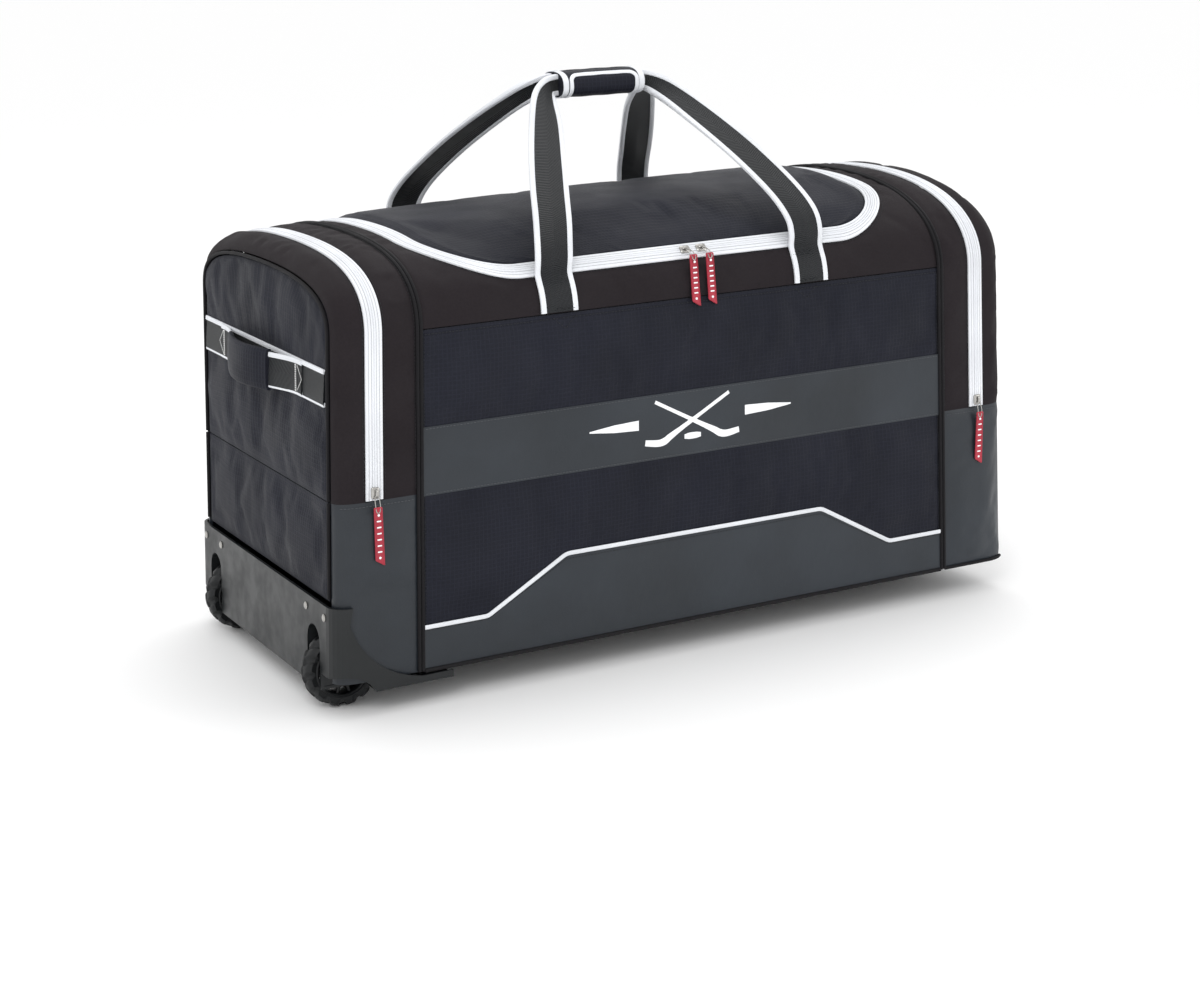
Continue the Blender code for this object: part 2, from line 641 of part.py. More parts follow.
# ---------------------------------------------------------------- zip sliders and pulls
def make_slider(name, anchor, along, out):
    """A slider body that stands just off its zip at the anchor, long way along the zip."""
    along, out = Vector(along).normalized(), Vector(out)
    across = along.cross(out)
    rings = []
    for height in (SLIDER_GAP, SLIDER_TOP):
        corners = ((-1, -1), (1, -1), (1, 1), (-1, 1))
        half, side = SLIDER_LENGTH / 2, SLIDER_WIDTH / 2
        centre = Vector(anchor) + out * height
        rings.append([centre + along * a * half + across * b * side for a, b in corners])
    bevel(loft(f"{name}_slider", rings, "nickel", origin=anchor), 0.0012)


def make_pull(name, x, route):
    """A pull tab on its link, hanging along a route of (y, z) from its pivot on the slider."""
    widths = (0.0060, 0.0060, PULL_WIDTH, PULL_WIDTH)
    thicknesses = (0.0016, 0.0016, 0.0020, 0.0020)
    rings = []
    for i, ((y, z), width, thick) in enumerate(zip(route, widths, thicknesses)):
        before, after = route[max(0, i - 1)], route[min(len(route) - 1, i + 1)]
        run, rise = after[0] - before[0], after[1] - before[1]
        length = math.hypot(run, rise)
        off = Vector((0.0, rise / length, -run / length)) * thick / 2
        left, right = Vector((x - width / 2, y, z)), Vector((x + width / 2, y, z))
        if i == len(route) - 1:
            left.z += PULL_SLANT
        rings.append([left - off, right - off, right + off, left + off])
    loft(f"{name}_pull", rings, "red_rubber", origin=(x, *route[0]))


def make_sliders():
    """Two sliders meet at the middle of the lid's zip, and one is at the foot of each end zip."""
    front_y, front_z = arch(-LID_Q, 0.0)
    slope = math.radians(LID_SLOPE)
    out = Vector((0.0, -math.sin(slope), math.cos(slope)))
    hang_y = -HALF_WIDTH - 0.0022
    for name, x in zip(("main_left", "main_right"), MAIN_SLIDER_X):
        anchor = Vector((x, front_y, front_z))
        make_slider(name, anchor, (1, 0, 0), out)
        pivot = anchor + out * (SLIDER_TOP + 0.0014) + Vector((0.0, -0.0015, -0.0015))
        route = [(pivot.y, pivot.z), (-0.2195, 0.4775), (hang_y, 0.4690), (hang_y, 0.4690 - MAIN_PULL)]
        make_pull(name, x, route)
    for name, side in (("left_end", -1), ("right_end", 1)):
        z = END_ZIP_Z + 0.010
        x = lean(side * END_ZIP_X, z)
        make_slider(name, (x, -HALF_WIDTH, z), (-side * TAPER * END_ZIP_X, 0, 1), (0, -1, 0))
        top = (-HALF_WIDTH - SLIDER_TOP - 0.0014, z - 0.002)
        route = [top, (top[0] + 0.0012, z - 0.010), (hang_y, z - 0.018), (hang_y, z - 0.018 - END_PULL)]
        make_pull(name, x, route)


def main():
    clear_scene()
    lid_y, lid_z = arch(LID_Q, 0.0)
    make_main_walls()
    make_dividers()
    make_top()
    make_lid((0.0, lid_y, lid_z))
    pivots = make_gussets_and_ends()
    make_grab_handle(pivots[0])
    make_carry_handle("front", -1)
    make_carry_handle("back", 1)
    for end, side in (("front", -1), ("back", 1)):
        make_wheel(end, side)
    make_guard()
    make_rivets()
    make_skid_foot()
    make_sliders()


main()
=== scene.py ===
"""Looks of a wheeled hockey equipment bag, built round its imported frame.

The bag's skin is the frame's own: a flat front and back under an arched top, with ends that lean in.
Every fabric panel is a closed cloth body on that skin. One cloth simulation, pinned along the seams,
puffs and creases all the panels together.
"""

import math

import bpy
import numpy as np
from mathutils import Matrix, Vector


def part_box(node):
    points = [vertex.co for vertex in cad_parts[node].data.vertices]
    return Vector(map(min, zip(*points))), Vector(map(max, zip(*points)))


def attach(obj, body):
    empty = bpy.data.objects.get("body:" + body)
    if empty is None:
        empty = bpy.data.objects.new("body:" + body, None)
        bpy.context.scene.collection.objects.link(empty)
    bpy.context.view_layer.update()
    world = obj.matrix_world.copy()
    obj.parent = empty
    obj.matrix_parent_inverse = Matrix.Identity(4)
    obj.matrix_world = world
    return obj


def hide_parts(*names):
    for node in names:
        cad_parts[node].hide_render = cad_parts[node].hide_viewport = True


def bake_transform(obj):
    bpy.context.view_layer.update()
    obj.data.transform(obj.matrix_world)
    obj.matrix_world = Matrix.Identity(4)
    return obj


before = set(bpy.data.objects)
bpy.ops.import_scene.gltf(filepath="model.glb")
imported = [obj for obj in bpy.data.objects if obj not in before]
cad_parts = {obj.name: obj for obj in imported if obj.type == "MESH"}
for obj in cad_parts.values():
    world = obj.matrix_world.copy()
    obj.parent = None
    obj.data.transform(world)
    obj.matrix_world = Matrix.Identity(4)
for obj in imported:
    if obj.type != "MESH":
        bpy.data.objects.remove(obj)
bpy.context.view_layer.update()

# ---------------------------------------------------------------- the bag's skin, in metres
CENTRE_X = 0.009
HALF_LENGTH = 0.470
HALF_WIDTH = 0.220
FOOT_Z = 0.041
SHOULDER_Z = 0.435
CREST_Z, CREST_SLOPE, CREST_DROP = 0.531, 0.022, 0.038
TAPER, TAPER_BASE_Z = 0.10, 0.030
END_ROUND, END_INSET = 0.030, 0.018
FABRIC = 0.005
GAP = 0.0003

SEAM_X = 0.367
END_ZIP_X = 0.4235
ZIP_HALF = 0.0105
END_ZIP_Z = 0.250
BAND_Z = (0.247, 0.3255)
SKIRT_LOW, SKIRT_HIGH = 0.092, 0.150
SKIRT_RAMP = (0.180, 0.283)
LID_X = (-0.306, 0.324)
LID_CORNER = 0.100
LID_Q = 0.67
PLAN_SLOPE = 0.74
STRAP_X, STRAP_WIDTH = 0.170, 0.047
GRAB_Z = (0.356, 0.398)
GRAB_TACK_Y = 0.118
GRAB_BULGE = 0.026
MIDDLE = np.array((CENTRE_X, 0.0, 0.26))

# ---------------------------------------------------------------- how finely things are made
SIM_PITCH = 0.0085
MESH_PITCH = 0.0055
PUFF_CAP = 0.0060
PULL_RIBS = 6
LID_COUNTS = (24, 26, 60)  # the lid outline's points along each side, round each corner, along the front


def lean(x, z):
    return CENTRE_X + x * (1 - TAPER * (z - TAPER_BASE_Z))


def arch(q, x):
    """(y, z) of the skin: q runs from -2 at the front's foot over 0 at the crest to 2 at the back's."""
    reach = np.abs(q)
    t = np.clip(1 - reach, 0, 1)
    top = CREST_Z + CREST_SLOPE * x - CREST_DROP * x * x
    weights = ((1 - t) ** 3, 3 * (1 - t) ** 2 * t, 3 * (1 - t) * t * t, t**3)
    y = HALF_WIDTH * (weights[0] + weights[1] + 0.68 * weights[2])
    z = SHOULDER_Z * weights[0] + (SHOULDER_Z + 0.06) * weights[1] + top * (weights[2] + weights[3])
    z = z - np.maximum(0, reach - 1) * (SHOULDER_Z - FOOT_Z)
    return np.where(np.asarray(q) < 0, -1.0, 1.0) * y, z


def skin(x, q, out=0.0):
    """Points on the skin, or this far outside it. The edge towards the end face is rounded."""
    x, q = np.broadcast_arrays(np.asarray(x, float), np.asarray(q, float))
    over = np.clip((np.abs(x) - (HALF_LENGTH - END_ROUND)) / END_ROUND, 0, 1)
    inset = END_INSET * (1 - np.sqrt(1 - over * over)) - out
    y, z = arch(q, x)
    before, after = arch(q - 0.002, x), arch(q + 0.002, x)
    run, rise = after[0] - before[0], after[1] - before[1]
    length = np.hypot(run, rise)
    y = y + inset * rise / length
    z = z - inset * run / length
    return np.stack([lean(x, z), y, z], axis=-1)


def q_of(z):
    """Arch parameter of a height on the flat front."""
    return -1 - (SHOULDER_Z - z) / (SHOULDER_Z - FOOT_Z)


ARCH_T = np.linspace(0, 1, 200)
ARCH_Y = arch(-(1 - ARCH_T), 0.0)[0]  # from -HALF_WIDTH at the shoulder to 0 at the crest


def q_of_y(y):
    """Arch parameter of a distance from the middle, on the top."""
    t = np.interp(-np.abs(y), ARCH_Y, ARCH_T)
    return np.where(np.asarray(y) < 0, -1.0, 1.0) * (1 - t)


def on_top(world_x, y, out=0.0):
    """The point of the arched top over a world (x, y)."""
    world_x, y = np.broadcast_arrays(np.asarray(world_x, float), np.asarray(y, float))
    q = q_of_y(y)
    x = world_x - CENTRE_X
    for _ in range(3):
        z = arch(q, x)[1]
        x = (world_x - CENTRE_X) / (1 - TAPER * (z - TAPER_BASE_Z))
    return skin(x, q, out)


def lerp(a, b, t):
    return a + (b - a) * t


def smooth(t):
    t = np.clip(t, 0, 1)
    return t * t * (3 - 2 * t)


def unit(v):
    v = np.asarray(v, float)
    return v / np.maximum(np.linalg.norm(v, axis=-1, keepdims=True), 1e-9)


# ---------------------------------------------------------------- materials
def link_or_set(tree, socket, value):
    if isinstance(value, bpy.types.NodeSocket):
        tree.links.new(value, socket)
    else:
        socket.default_value = value


def node(tree, kind, inputs=None, **settings):
    made = tree.nodes.new("ShaderNode" + kind)
    for key, value in settings.items():
        setattr(made, key, value)
    for key, value in (inputs or {}).items():
        link_or_set(tree, made.inputs[key], value)
    return made


def maths(tree, operation, a, b=0.0, clamp=False):
    return node(tree, "Math", {0: a, 1: b}, operation=operation, use_clamp=clamp).outputs[0]


def wave(tree, along, pitch, phase=0.0):
    """A sine wave from 0 to 1 with this pitch in metres."""
    turns = maths(tree, "ADD", maths(tree, "MULTIPLY", along, math.tau / pitch), phase)
    return maths(tree, "ADD", maths(tree, "MULTIPLY", maths(tree, "SINE", turns), 0.5), 0.5)


def noise(tree, scale, detail=3.0, vector=None, stretch=None):
    where = vector or node(tree, "TexCoord").outputs["Object"]
    if stretch:
        where = node(tree, "Mapping", {"Vector": where, "Scale": stretch}).outputs[0]
    return node(tree, "TexNoise", {"Vector": where, "Scale": scale, "Detail": detail}).outputs["Fac"]


def spread(tree, value, low, high):
    """The value's middle stretch, 0.35 to 0.65, spread from low to high."""
    inputs = {"Value": value, "From Min": 0.35, "From Max": 0.65, "To Min": low, "To Max": high}
    return node(tree, "MapRange", inputs).outputs[0]


def tinted(tree, colour, factor):
    """A colour multiplied by a factor."""
    return node(tree, "VectorMath", {0: colour, "Scale": factor}, operation="SCALE").outputs[0]


def start_material(name, rough, metallic=0.0, sheen=0.0, coat=0.0, specular=0.5):
    made = bpy.data.materials.new(name)
    made.use_nodes = True
    tree = made.node_tree
    shader = tree.nodes["Principled BSDF"]
    shader.inputs["Roughness"].default_value = rough
    shader.inputs["Metallic"].default_value = metallic
    shader.inputs["Specular IOR Level"].default_value = specular
    shader.inputs["Sheen Weight"].default_value = sheen
    shader.inputs["Sheen Roughness"].default_value = 0.4
    shader.inputs["Coat Weight"].default_value = coat
    return made, tree, shader


def finish_material(tree, shader, colour, height, distance, strength=1.0, rough=None):
    bump = node(tree, "Bump", {"Height": height, "Distance": distance, "Strength": strength})
    tree.links.new(bump.outputs[0], shader.inputs["Normal"])
    link_or_set(tree, shader.inputs["Base Color"], colour)
    if rough is not None:
        tree.links.new(rough, shader.inputs["Roughness"])


def uv_axes(tree):
    uv = node(tree, "UVMap", uv_map="cloth").outputs[0]
    split = node(tree, "SeparateXYZ", {0: uv})
    return split.outputs[0], split.outputs[1]


def woven(name, colour, rough, sheen, thread, rib=0.0, grid=0.0, relief=0.0003, blotch=0.14, upright=False):
    """Woven cloth: threads at this pitch, heavier weft ribs, and a ripstop grid at a coarser pitch.

    Upright cloth has its threads along the bag's own y and z, for pieces with no cloth coordinates.
    """
    made, tree, shader = start_material(name, rough, sheen=sheen, specular=0.14)
    u, v = uv_axes(tree)
    if upright:
        split = node(tree, "SeparateXYZ", {0: node(tree, "TexCoord").outputs["Object"]})
        u, v = split.outputs[1], split.outputs[2]
    warp, weft = wave(tree, u, thread), wave(tree, v, thread)
    height = maths(tree, "MULTIPLY", maths(tree, "MAXIMUM", warp, weft), 0.5)
    shade = spread(tree, noise(tree, 9.0, 4.0), 1 - blotch, 1 + blotch)
    shade = maths(tree, "MULTIPLY", shade, spread(tree, noise(tree, 420.0, 2.0), 0.93, 1.07))
    if rib:
        ribs = wave(tree, v, rib)
        height = maths(tree, "ADD", height, maths(tree, "MULTIPLY", ribs, 0.8))
        shade = maths(tree, "MULTIPLY", shade, maths(tree, "ADD", maths(tree, "MULTIPLY", ribs, 0.22), 0.89))
    if grid:
        lines = maths(tree, "MAXIMUM", wave(tree, u, grid), wave(tree, v, grid))
        lines = maths(tree, "POWER", lines, 10.0)
        height = maths(tree, "ADD", height, maths(tree, "MULTIPLY", lines, 1.1))
        shade = maths(tree, "MULTIPLY", shade, maths(tree, "ADD", maths(tree, "MULTIPLY", lines, 0.30), 0.94))
    creases = noise(tree, 26.0, 3.0, stretch=(1.0, 1.0, 1.7))
    height = maths(tree, "ADD", height, maths(tree, "MULTIPLY", creases, 5.0))
    uneven = spread(tree, noise(tree, 14.0, 2.0), rough - 0.06, rough + 0.06)
    finish_material(tree, shader, tinted(tree, colour, shade), height, relief, 0.9, uneven)
    return made


def coated(name, colour):
    """Coated cloth with a fine grain, soft creases and a smoky sheen. Its colour is lighter and darker in
    broad patches: partly random tone, partly painted sheen.
    """
    made, tree, shader = start_material(name, 0.42, coat=0.04, specular=0.38)
    shader.inputs["Coat Roughness"].default_value = 0.35
    grain = node(tree, "TexVoronoi", {"Scale": 700.0}).outputs["Distance"]
    tree.links.new(node(tree, "TexCoord").outputs["Object"], grain.node.inputs["Vector"])
    creases = noise(tree, 13.0, 4.0, stretch=(1.0, 1.0, 0.55))
    height = maths(tree, "ADD", maths(tree, "MULTIPLY", grain, 0.5), maths(tree, "MULTIPLY", creases, 16.0))
    # partly random tone, partly painted sheen: broad patches from 0.8 to 1.3 times the colour
    tone_and_painted_sheen = spread(tree, noise(tree, 6.0, 5.0), 0.80, 1.30)
    rough = spread(tree, noise(tree, 8.0, 3.0), 0.36, 0.52)
    finish_material(tree, shader, tinted(tree, colour, tone_and_painted_sheen), height, 0.00025, 0.8, rough)
    return made


def ribbed(name, colour, rough, pitch, sheen=0.15, relief=0.0004, lines=()):
    """Narrow woven tape: ribs across its length, and darker lines along it at these distances, which are
    painted shade in the tape's grooves.
    """
    made, tree, shader = start_material(name, rough, sheen=sheen, specular=0.35)
    u, v = uv_axes(tree)
    slanted = maths(tree, "ADD", v, maths(tree, "MULTIPLY", maths(tree, "ABSOLUTE", u), 0.35))
    ribs = wave(tree, slanted, pitch)
    height = maths(tree, "ADD", ribs, maths(tree, "MULTIPLY", noise(tree, 300.0, 2.0), 0.6))
    shade = maths(tree, "ADD", maths(tree, "MULTIPLY", ribs, 0.16), 0.88)
    shade = maths(tree, "MULTIPLY", shade, spread(tree, noise(tree, 12.0, 3.0), 0.94, 1.05))
    for place in lines:
        off = maths(tree, "ABSOLUTE", maths(tree, "SUBTRACT", maths(tree, "ABSOLUTE", u), place))
        # painted shade: the colour darkens along each groove line
        groove_shade = maths(tree, "MULTIPLY", maths(tree, "LESS_THAN", off, 0.00032), 0.42)
        shade = maths(tree, "MULTIPLY", shade, maths(tree, "SUBTRACT", 1.0, groove_shade))
    finish_material(tree, shader, tinted(tree, colour, shade), height, relief, 0.8)
    return made


def moulded(name, colour, rough, grain=900.0, relief=0.00012, wear=0.10, coat=0.0):
    """Moulded plastic or rubber with a fine spark texture and slight unevenness."""
    made, tree, shader = start_material(name, rough, coat=coat, specular=0.32)
    fine = noise(tree, grain, 3.0)
    broad = noise(tree, 18.0, 4.0)
    height = maths(tree, "ADD", fine, maths(tree, "MULTIPLY", broad, 0.8))
    shade = spread(tree, broad, 1 - wear, 1 + wear)
    uneven = spread(tree, noise(tree, 40.0, 4.0), rough - 0.07, rough + 0.07)
    finish_material(tree, shader, tinted(tree, colour, shade), height, relief, 0.7, uneven)
    return made


def plated(name, colour, rough):
    made, tree, shader = start_material(name, rough, metallic=1.0)
    scratches = noise(tree, 240.0, 4.0, stretch=(1.0, 1.0, 0.2))
    uneven = spread(tree, scratches, rough - 0.06, rough + 0.10)
    shade = spread(tree, noise(tree, 60.0, 3.0), 0.94, 1.04)
    finish_material(tree, shader, tinted(tree, colour, shade), scratches, 0.00004, 0.5, uneven)
    return made


def make_materials():
    white = (0.84, 0.86, 0.90)
    return {
        "ripstop": woven("ripstop", (0.0105, 0.0115, 0.0185), 0.62, 0.05, 0.0013, 0.0, 0.0052, 0.00022),
        "plain": woven("plain", (0.0165, 0.0130, 0.0150), 0.80, 0.03, 0.0011, relief=0.00020, blotch=0.08),
        "welt": woven("welt", (0.0100, 0.0095, 0.0110), 0.70, 0.03, 0.0011, relief=0.00020, blotch=0.05),
        "coated": coated("coated", (0.0150, 0.0192, 0.0250)),
        # the tape's two darker lines are painted shade in its step and stitch groove
        "tape": ribbed("tape", white, 0.62, 0.0016, lines=(0.0030, 0.0066)),
        "binding": ribbed("binding", white, 0.66, 0.0014),
        "webbing": ribbed("webbing", (0.0085, 0.0100, 0.0120), 0.52, 0.0026, sheen=0.04, relief=0.0010),
        "lining": woven("lining", (0.016, 0.016, 0.018), 0.80, 0.03, 0.0012, upright=True),
        "board": moulded("board", (0.030, 0.030, 0.030), 0.85),
        "guard": moulded("guard", (0.0110, 0.0125, 0.0135), 0.40),
        "wheel": moulded("wheel", (0.008, 0.009, 0.010), 0.38),
        "tyre": moulded("tyre", (0.009, 0.010, 0.011), 0.55, grain=500.0, relief=0.0002),
        "steel": plated("steel", (0.62, 0.63, 0.64), 0.30),
        "nickel": plated("nickel", (0.42, 0.41, 0.39), 0.26),
        "red": moulded("red", (0.38, 0.030, 0.050), 0.46, relief=0.0002),
        "print": moulded("print", (0.88, 0.89, 0.91), 0.48, relief=0.00008, wear=0.02),
        "thread_white": moulded("thread_white", (0.78, 0.78, 0.77), 0.75, wear=0.05),
        "thread_grey": moulded("thread_grey", (0.085, 0.090, 0.100), 0.70, wear=0.05),
        "thread_dark": moulded("thread_dark", (0.018, 0.019, 0.022), 0.70, wear=0.05),
    }


MATERIALS = make_materials()


# ---------------------------------------------------------------- meshes
def make(name, points, faces, finish, body=None, uv=None, nodes=(), sharp=40):
    """One piece: a mesh with its finish, riding on a body and standing for CAD nodes."""
    mesh = bpy.data.meshes.new(name)
    mesh.from_pydata([tuple(p) for p in np.asarray(points, float)], [], faces)
    mesh.validate()
    if uv is not None:
        layer = mesh.uv_layers.new(name="cloth")
        flat = np.asarray(uv, float)
        corners = np.empty(len(mesh.loops), np.int32)
        mesh.loops.foreach_get("vertex_index", corners)
        layer.data.foreach_set("uv", flat[corners].astype(np.float32).ravel())
    mesh.shade_smooth()
    mesh.set_sharp_from_angle(angle=math.radians(sharp))
    obj = bpy.data.objects.new(name, mesh)
    bpy.context.scene.collection.objects.link(obj)
    mesh.materials.append(MATERIALS[finish])
    if nodes:
        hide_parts(*nodes)
    if body:
        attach(obj, body)
    return obj


def grid_faces(index):
    """Quads of a grid of point numbers."""
    corners = [index[:-1, :-1], index[1:, :-1], index[1:, 1:], index[:-1, 1:]]
    return np.stack(corners, axis=-1).reshape(-1, 4)


def tube_faces(rings, count, closed=False, capped=True):
    """Faces of rings of count points, joined into a tube."""
    faces = []
    for i in range(rings if closed else rings - 1):
        low, high = i * count, ((i + 1) % rings) * count
        for j in range(count):
            k = (j + 1) % count
            faces.append((low + j, high + j, high + k, low + k))
    if capped and not closed:
        faces.append(tuple(range(count)))
        faces.append(tuple(range(rings * count - 1, (rings - 1) * count - 1, -1)))
    return faces


def turned_out(points, faces):
    """The faces, turned round if they face inwards."""
    p = np.asarray(points, float)
    corners = np.array([(f[0], f[k], f[k + 1]) for f in faces for k in range(1, len(f) - 1)])
    a, b, c = p[corners[:, 0]], p[corners[:, 1]], p[corners[:, 2]]
    return faces if (a * np.cross(b, c)).sum() > 0 else [f[::-1] for f in faces]


def sweep(name, rings, finish, body, closed=False, uv=None, nodes=(), sharp=40):
    """A closed body through an array of rings, (stations, points, 3)."""
    rings = np.asarray(rings, float)
    count = rings.shape[1]
    points = rings.reshape(-1, 3)
    faces = turned_out(points, tube_faces(len(rings), count, closed))
    if uv is None:
        steps = np.linalg.norm(np.diff(rings[:, 0], axis=0), axis=-1)
        along = np.concatenate([[0], np.cumsum(steps)])
        sides = np.linalg.norm(np.diff(rings[len(rings) // 2], axis=0), axis=-1)
        round_it = np.concatenate([[0], np.cumsum(sides)])
        uv = np.stack(np.meshgrid(along, round_it, indexing="ij")[::-1], axis=-1)
    return make(name, points, faces, finish, body, np.asarray(uv).reshape(-1, 2), nodes, sharp)


def lengths(path):
    """Distance along a path at each of its points."""
    return np.concatenate([[0], np.cumsum(np.linalg.norm(np.diff(path, axis=0), axis=-1))])


def tangents(path):
    return unit(np.gradient(np.asarray(path, float), axis=0))


def even(path, pitch):
    """The path again, with points at this pitch. Only the first three columns count as distance."""
    path = np.asarray(path, float)
    at = lengths(path[:, :3])
    where = np.linspace(0, at[-1], max(3, int(round(at[-1] / pitch)) + 1))
    return np.stack([np.interp(where, at, path[:, i]) for i in range(path.shape[1])], axis=-1)


def curved(points, steps=8):
    """A Catmull-Rom curve through rows of numbers."""
    rows = np.asarray(points, float)
    rows = np.vstack([rows[:1], rows, rows[-1:]])
    t = np.arange(steps)[:, None] / steps
    parts = []
    for p, q, r, s in zip(rows, rows[1:], rows[2:], rows[3:]):
        bend, twist = 2 * p - 5 * q + 4 * r - s, 3 * q - p - 3 * r + s
        parts.append(0.5 * (2 * q + (r - p) * t + bend * t**2 + twist * t**3))
    return np.vstack([*parts, rows[-1:]])


def rounded(width, height, count=12, power=2.6):
    """A cushioned oblong profile (across, up), centred."""
    angles = np.arange(count) * math.tau / count
    c, s = np.cos(angles), np.sin(angles)
    across = np.sign(c) * np.abs(c) ** (2 / power) * width / 2
    up = np.sign(s) * np.abs(s) ** (2 / power) * height / 2
    return np.stack([across, up], axis=-1)


def strip(name, path, ups, profile, finish, body=None, nodes=(), sharp=40):
    """A profile (across, up) swept along a path whose upward direction is given at each point."""
    path, ups = np.asarray(path, float), unit(ups)
    along = tangents(path)
    side = unit(np.cross(along, ups))
    ups = np.cross(side, along)
    profile = np.asarray(profile, float)
    rings = path[:, None] + side[:, None] * profile[None, :, :1] + ups[:, None] * profile[None, :, 1:]
    at = lengths(path)
    uv = np.empty((len(path), len(profile), 2))
    uv[..., 0] = profile[None, :, 0]
    uv[..., 1] = at[:, None]
    return sweep(name, rings, finish, body, uv=uv, nodes=nodes, sharp=sharp)


def stitches(name, path, ups, finish, body, pitch=0.0042, length=0.0030, radius=0.00036, lift=0.0):
    """A row of thread stitches along a path, each a small six-sided bead that dips at its ends."""
    path, ups = np.asarray(path, float), np.asarray(ups, float)
    at = lengths(path)
    points, faces = [], []
    for start in np.arange(pitch / 2, at[-1] - length, pitch):
        where = start + np.array((0.0, 0.25, 0.75, 1.0)) * length
        spot = np.stack([np.interp(where, at, path[:, i]) for i in range(3)], axis=-1)
        up = unit(np.stack([np.interp(where, at, ups[:, i]) for i in range(3)], axis=-1))
        side = unit(np.cross(tangents(spot), up))
        first = len(points)
        for i, (size, height) in enumerate(((0.5, -0.2), (1.0, 0.5), (1.0, 0.5), (0.5, -0.2))):
            for angle in np.arange(6) * math.tau / 6:
                offset = side[i] * math.cos(angle) + up[i] * math.sin(angle)
                points.append(spot[i] + up[i] * (radius * height + lift) + offset * radius * size)
        faces += [tuple(first + k for k in face) for face in tube_faces(4, 6)]
    return make(name, points, turned_out(points, faces), finish, body)


# ---------------------------------------------------------------- fabric panels
class Panel:
    """A fabric panel over u, v from 0 to 1. It knows how far the cloth stands off the skin everywhere."""

    def __init__(
        self, name, surface, size, finish, body, nodes, held=None, thick=FABRIC, lift=0.0, roll=0.0012
    ):
        self.name, self.surface, self.size = name, surface, size
        self.finish, self.body, self.nodes = finish, body, nodes
        self.held, self.thick, self.lift, self.roll = held, thick, lift, roll
        self.out = None

    def grid(self, pitch):
        counts = [max(4, int(round(length / pitch))) + 1 for length in self.size]
        return np.meshgrid(*[np.linspace(0, 1, n) for n in counts], indexing="ij")

    def base(self, u, v):
        """Skin points and outward normals."""
        step = 0.002
        point = self.surface(u, v)
        run = self.surface(np.minimum(u + step, 1), v) - self.surface(np.maximum(u - step, 0), v)
        rise = self.surface(u, np.minimum(v + step, 1)) - self.surface(u, np.maximum(v - step, 0))
        normal = unit(np.cross(run, rise))
        return point, normal * (1.0 if ((point - MIDDLE) * normal).sum() > 0 else -1.0)

    def pins(self, points):
        """1 where the cloth is sewn down: its border, and wherever it is held."""
        edge = np.zeros(points.shape[:-1])
        edge[0], edge[-1], edge[:, 0], edge[:, -1] = 1, 1, 1, 1
        if self.held:
            edge = np.maximum(edge, self.held(points))
        return edge

    def height(self, u, v):
        """How far the cloth stands off the skin: what the simulation gave, rolled down at the seams."""
        rows, columns = self.out.shape
        a, b = np.clip(u, 0, 1) * (rows - 1), np.clip(v, 0, 1) * (columns - 1)
        i, j = np.minimum(a.astype(int), rows - 2), np.minimum(b.astype(int), columns - 2)
        s, t = smooth(a - i), smooth(b - j)
        low = lerp(self.out[i, j], self.out[i, j + 1], t)
        high = lerp(self.out[i + 1, j], self.out[i + 1, j + 1], t)
        from_edge = np.minimum(
            np.minimum(u, 1 - u) * self.size[0],
            np.minimum(v, 1 - v) * self.size[1],
        )
        return lerp(low, high, s) + self.lift - self.roll * (1 - smooth(from_edge / 0.005))

    def place(self, u, v, above=0.0):
        """Points and normals this far above the cloth."""
        point, normal = self.base(u, v)
        return point + normal * (self.height(u, v) + above)[..., None], normal

    def build(self, pitch=MESH_PITCH):
        u, v = self.grid(pitch)
        border = 0.0016
        for axis, values in ((0, u), (1, v)):
            fine = border / self.size[axis]
            edge = [slice(None)] * 2
            for spot, value in ((1, fine), (-2, 1 - fine)):
                edge[axis] = spot
                values[tuple(edge)] = value
        outer, normal = self.place(u, v)
        inner = self.base(u, v)[0] - normal * self.thick
        return closed_sheet(self, outer, inner, u, v)


def closed_sheet(panel, outer, inner, u, v):
    """A panel's body: its outer and inner surfaces, joined round the border."""
    rows, columns = u.shape
    half = rows * columns
    index = np.arange(half).reshape(rows, columns)
    quads = grid_faces(index)
    ring = np.concatenate([index[:, 0], index[-1, 1:], index[-2::-1, -1], index[0, -2:0:-1]])
    rim = np.stack([ring, np.roll(ring, -1), np.roll(ring, -1) + half, ring + half], axis=-1)[:, ::-1]
    faces = [tuple(f) for f in np.concatenate([quads, quads[:, ::-1] + half, rim]).tolist()]
    points = np.concatenate([outer.reshape(-1, 3), inner.reshape(-1, 3)])
    uv = np.stack([u * panel.size[0], v * panel.size[1]], axis=-1).reshape(-1, 2)
    faces = turned_out(points - points.mean(0), faces)
    uv = np.tile(uv, (2, 1))
    return make(panel.name, points, faces, panel.finish, panel.body, uv, panel.nodes, sharp=60)


def settle(panels):
    """Puffs and creases every panel: one cloth, cut a little too large, pinned at its seams and blown out."""
    points, faces, pins, starts = [], [], [], []
    for panel in panels:
        u, v = panel.grid(SIM_PITCH)
        point, normal = panel.base(u, v)
        rows, columns = u.shape
        index = np.arange(rows * columns).reshape(rows, columns) + sum(len(p) for p in points)
        quads = grid_faces(index)
        across = np.cross(point[1, 0] - point[0, 0], point[0, 1] - point[0, 0])
        if np.dot(across, normal[0, 0]) < 0:
            quads = quads[:, ::-1]
        starts.append((point, normal))
        points.append(point.reshape(-1, 3))
        faces += quads.tolist()
        pins.append(panel.pins(point).ravel())
    rest = np.concatenate(points)
    moved = blown(rest, faces, np.concatenate(pins))
    first = 0
    for panel, (point, normal) in zip(panels, starts):
        count = point.shape[0] * point.shape[1]
        shift = moved[first : first + count].reshape(point.shape) - point
        first += count
        lowest = 0.0 if panel.lift else -0.0008
        panel.out = np.clip((shift * normal).sum(-1), lowest, PUFF_CAP)


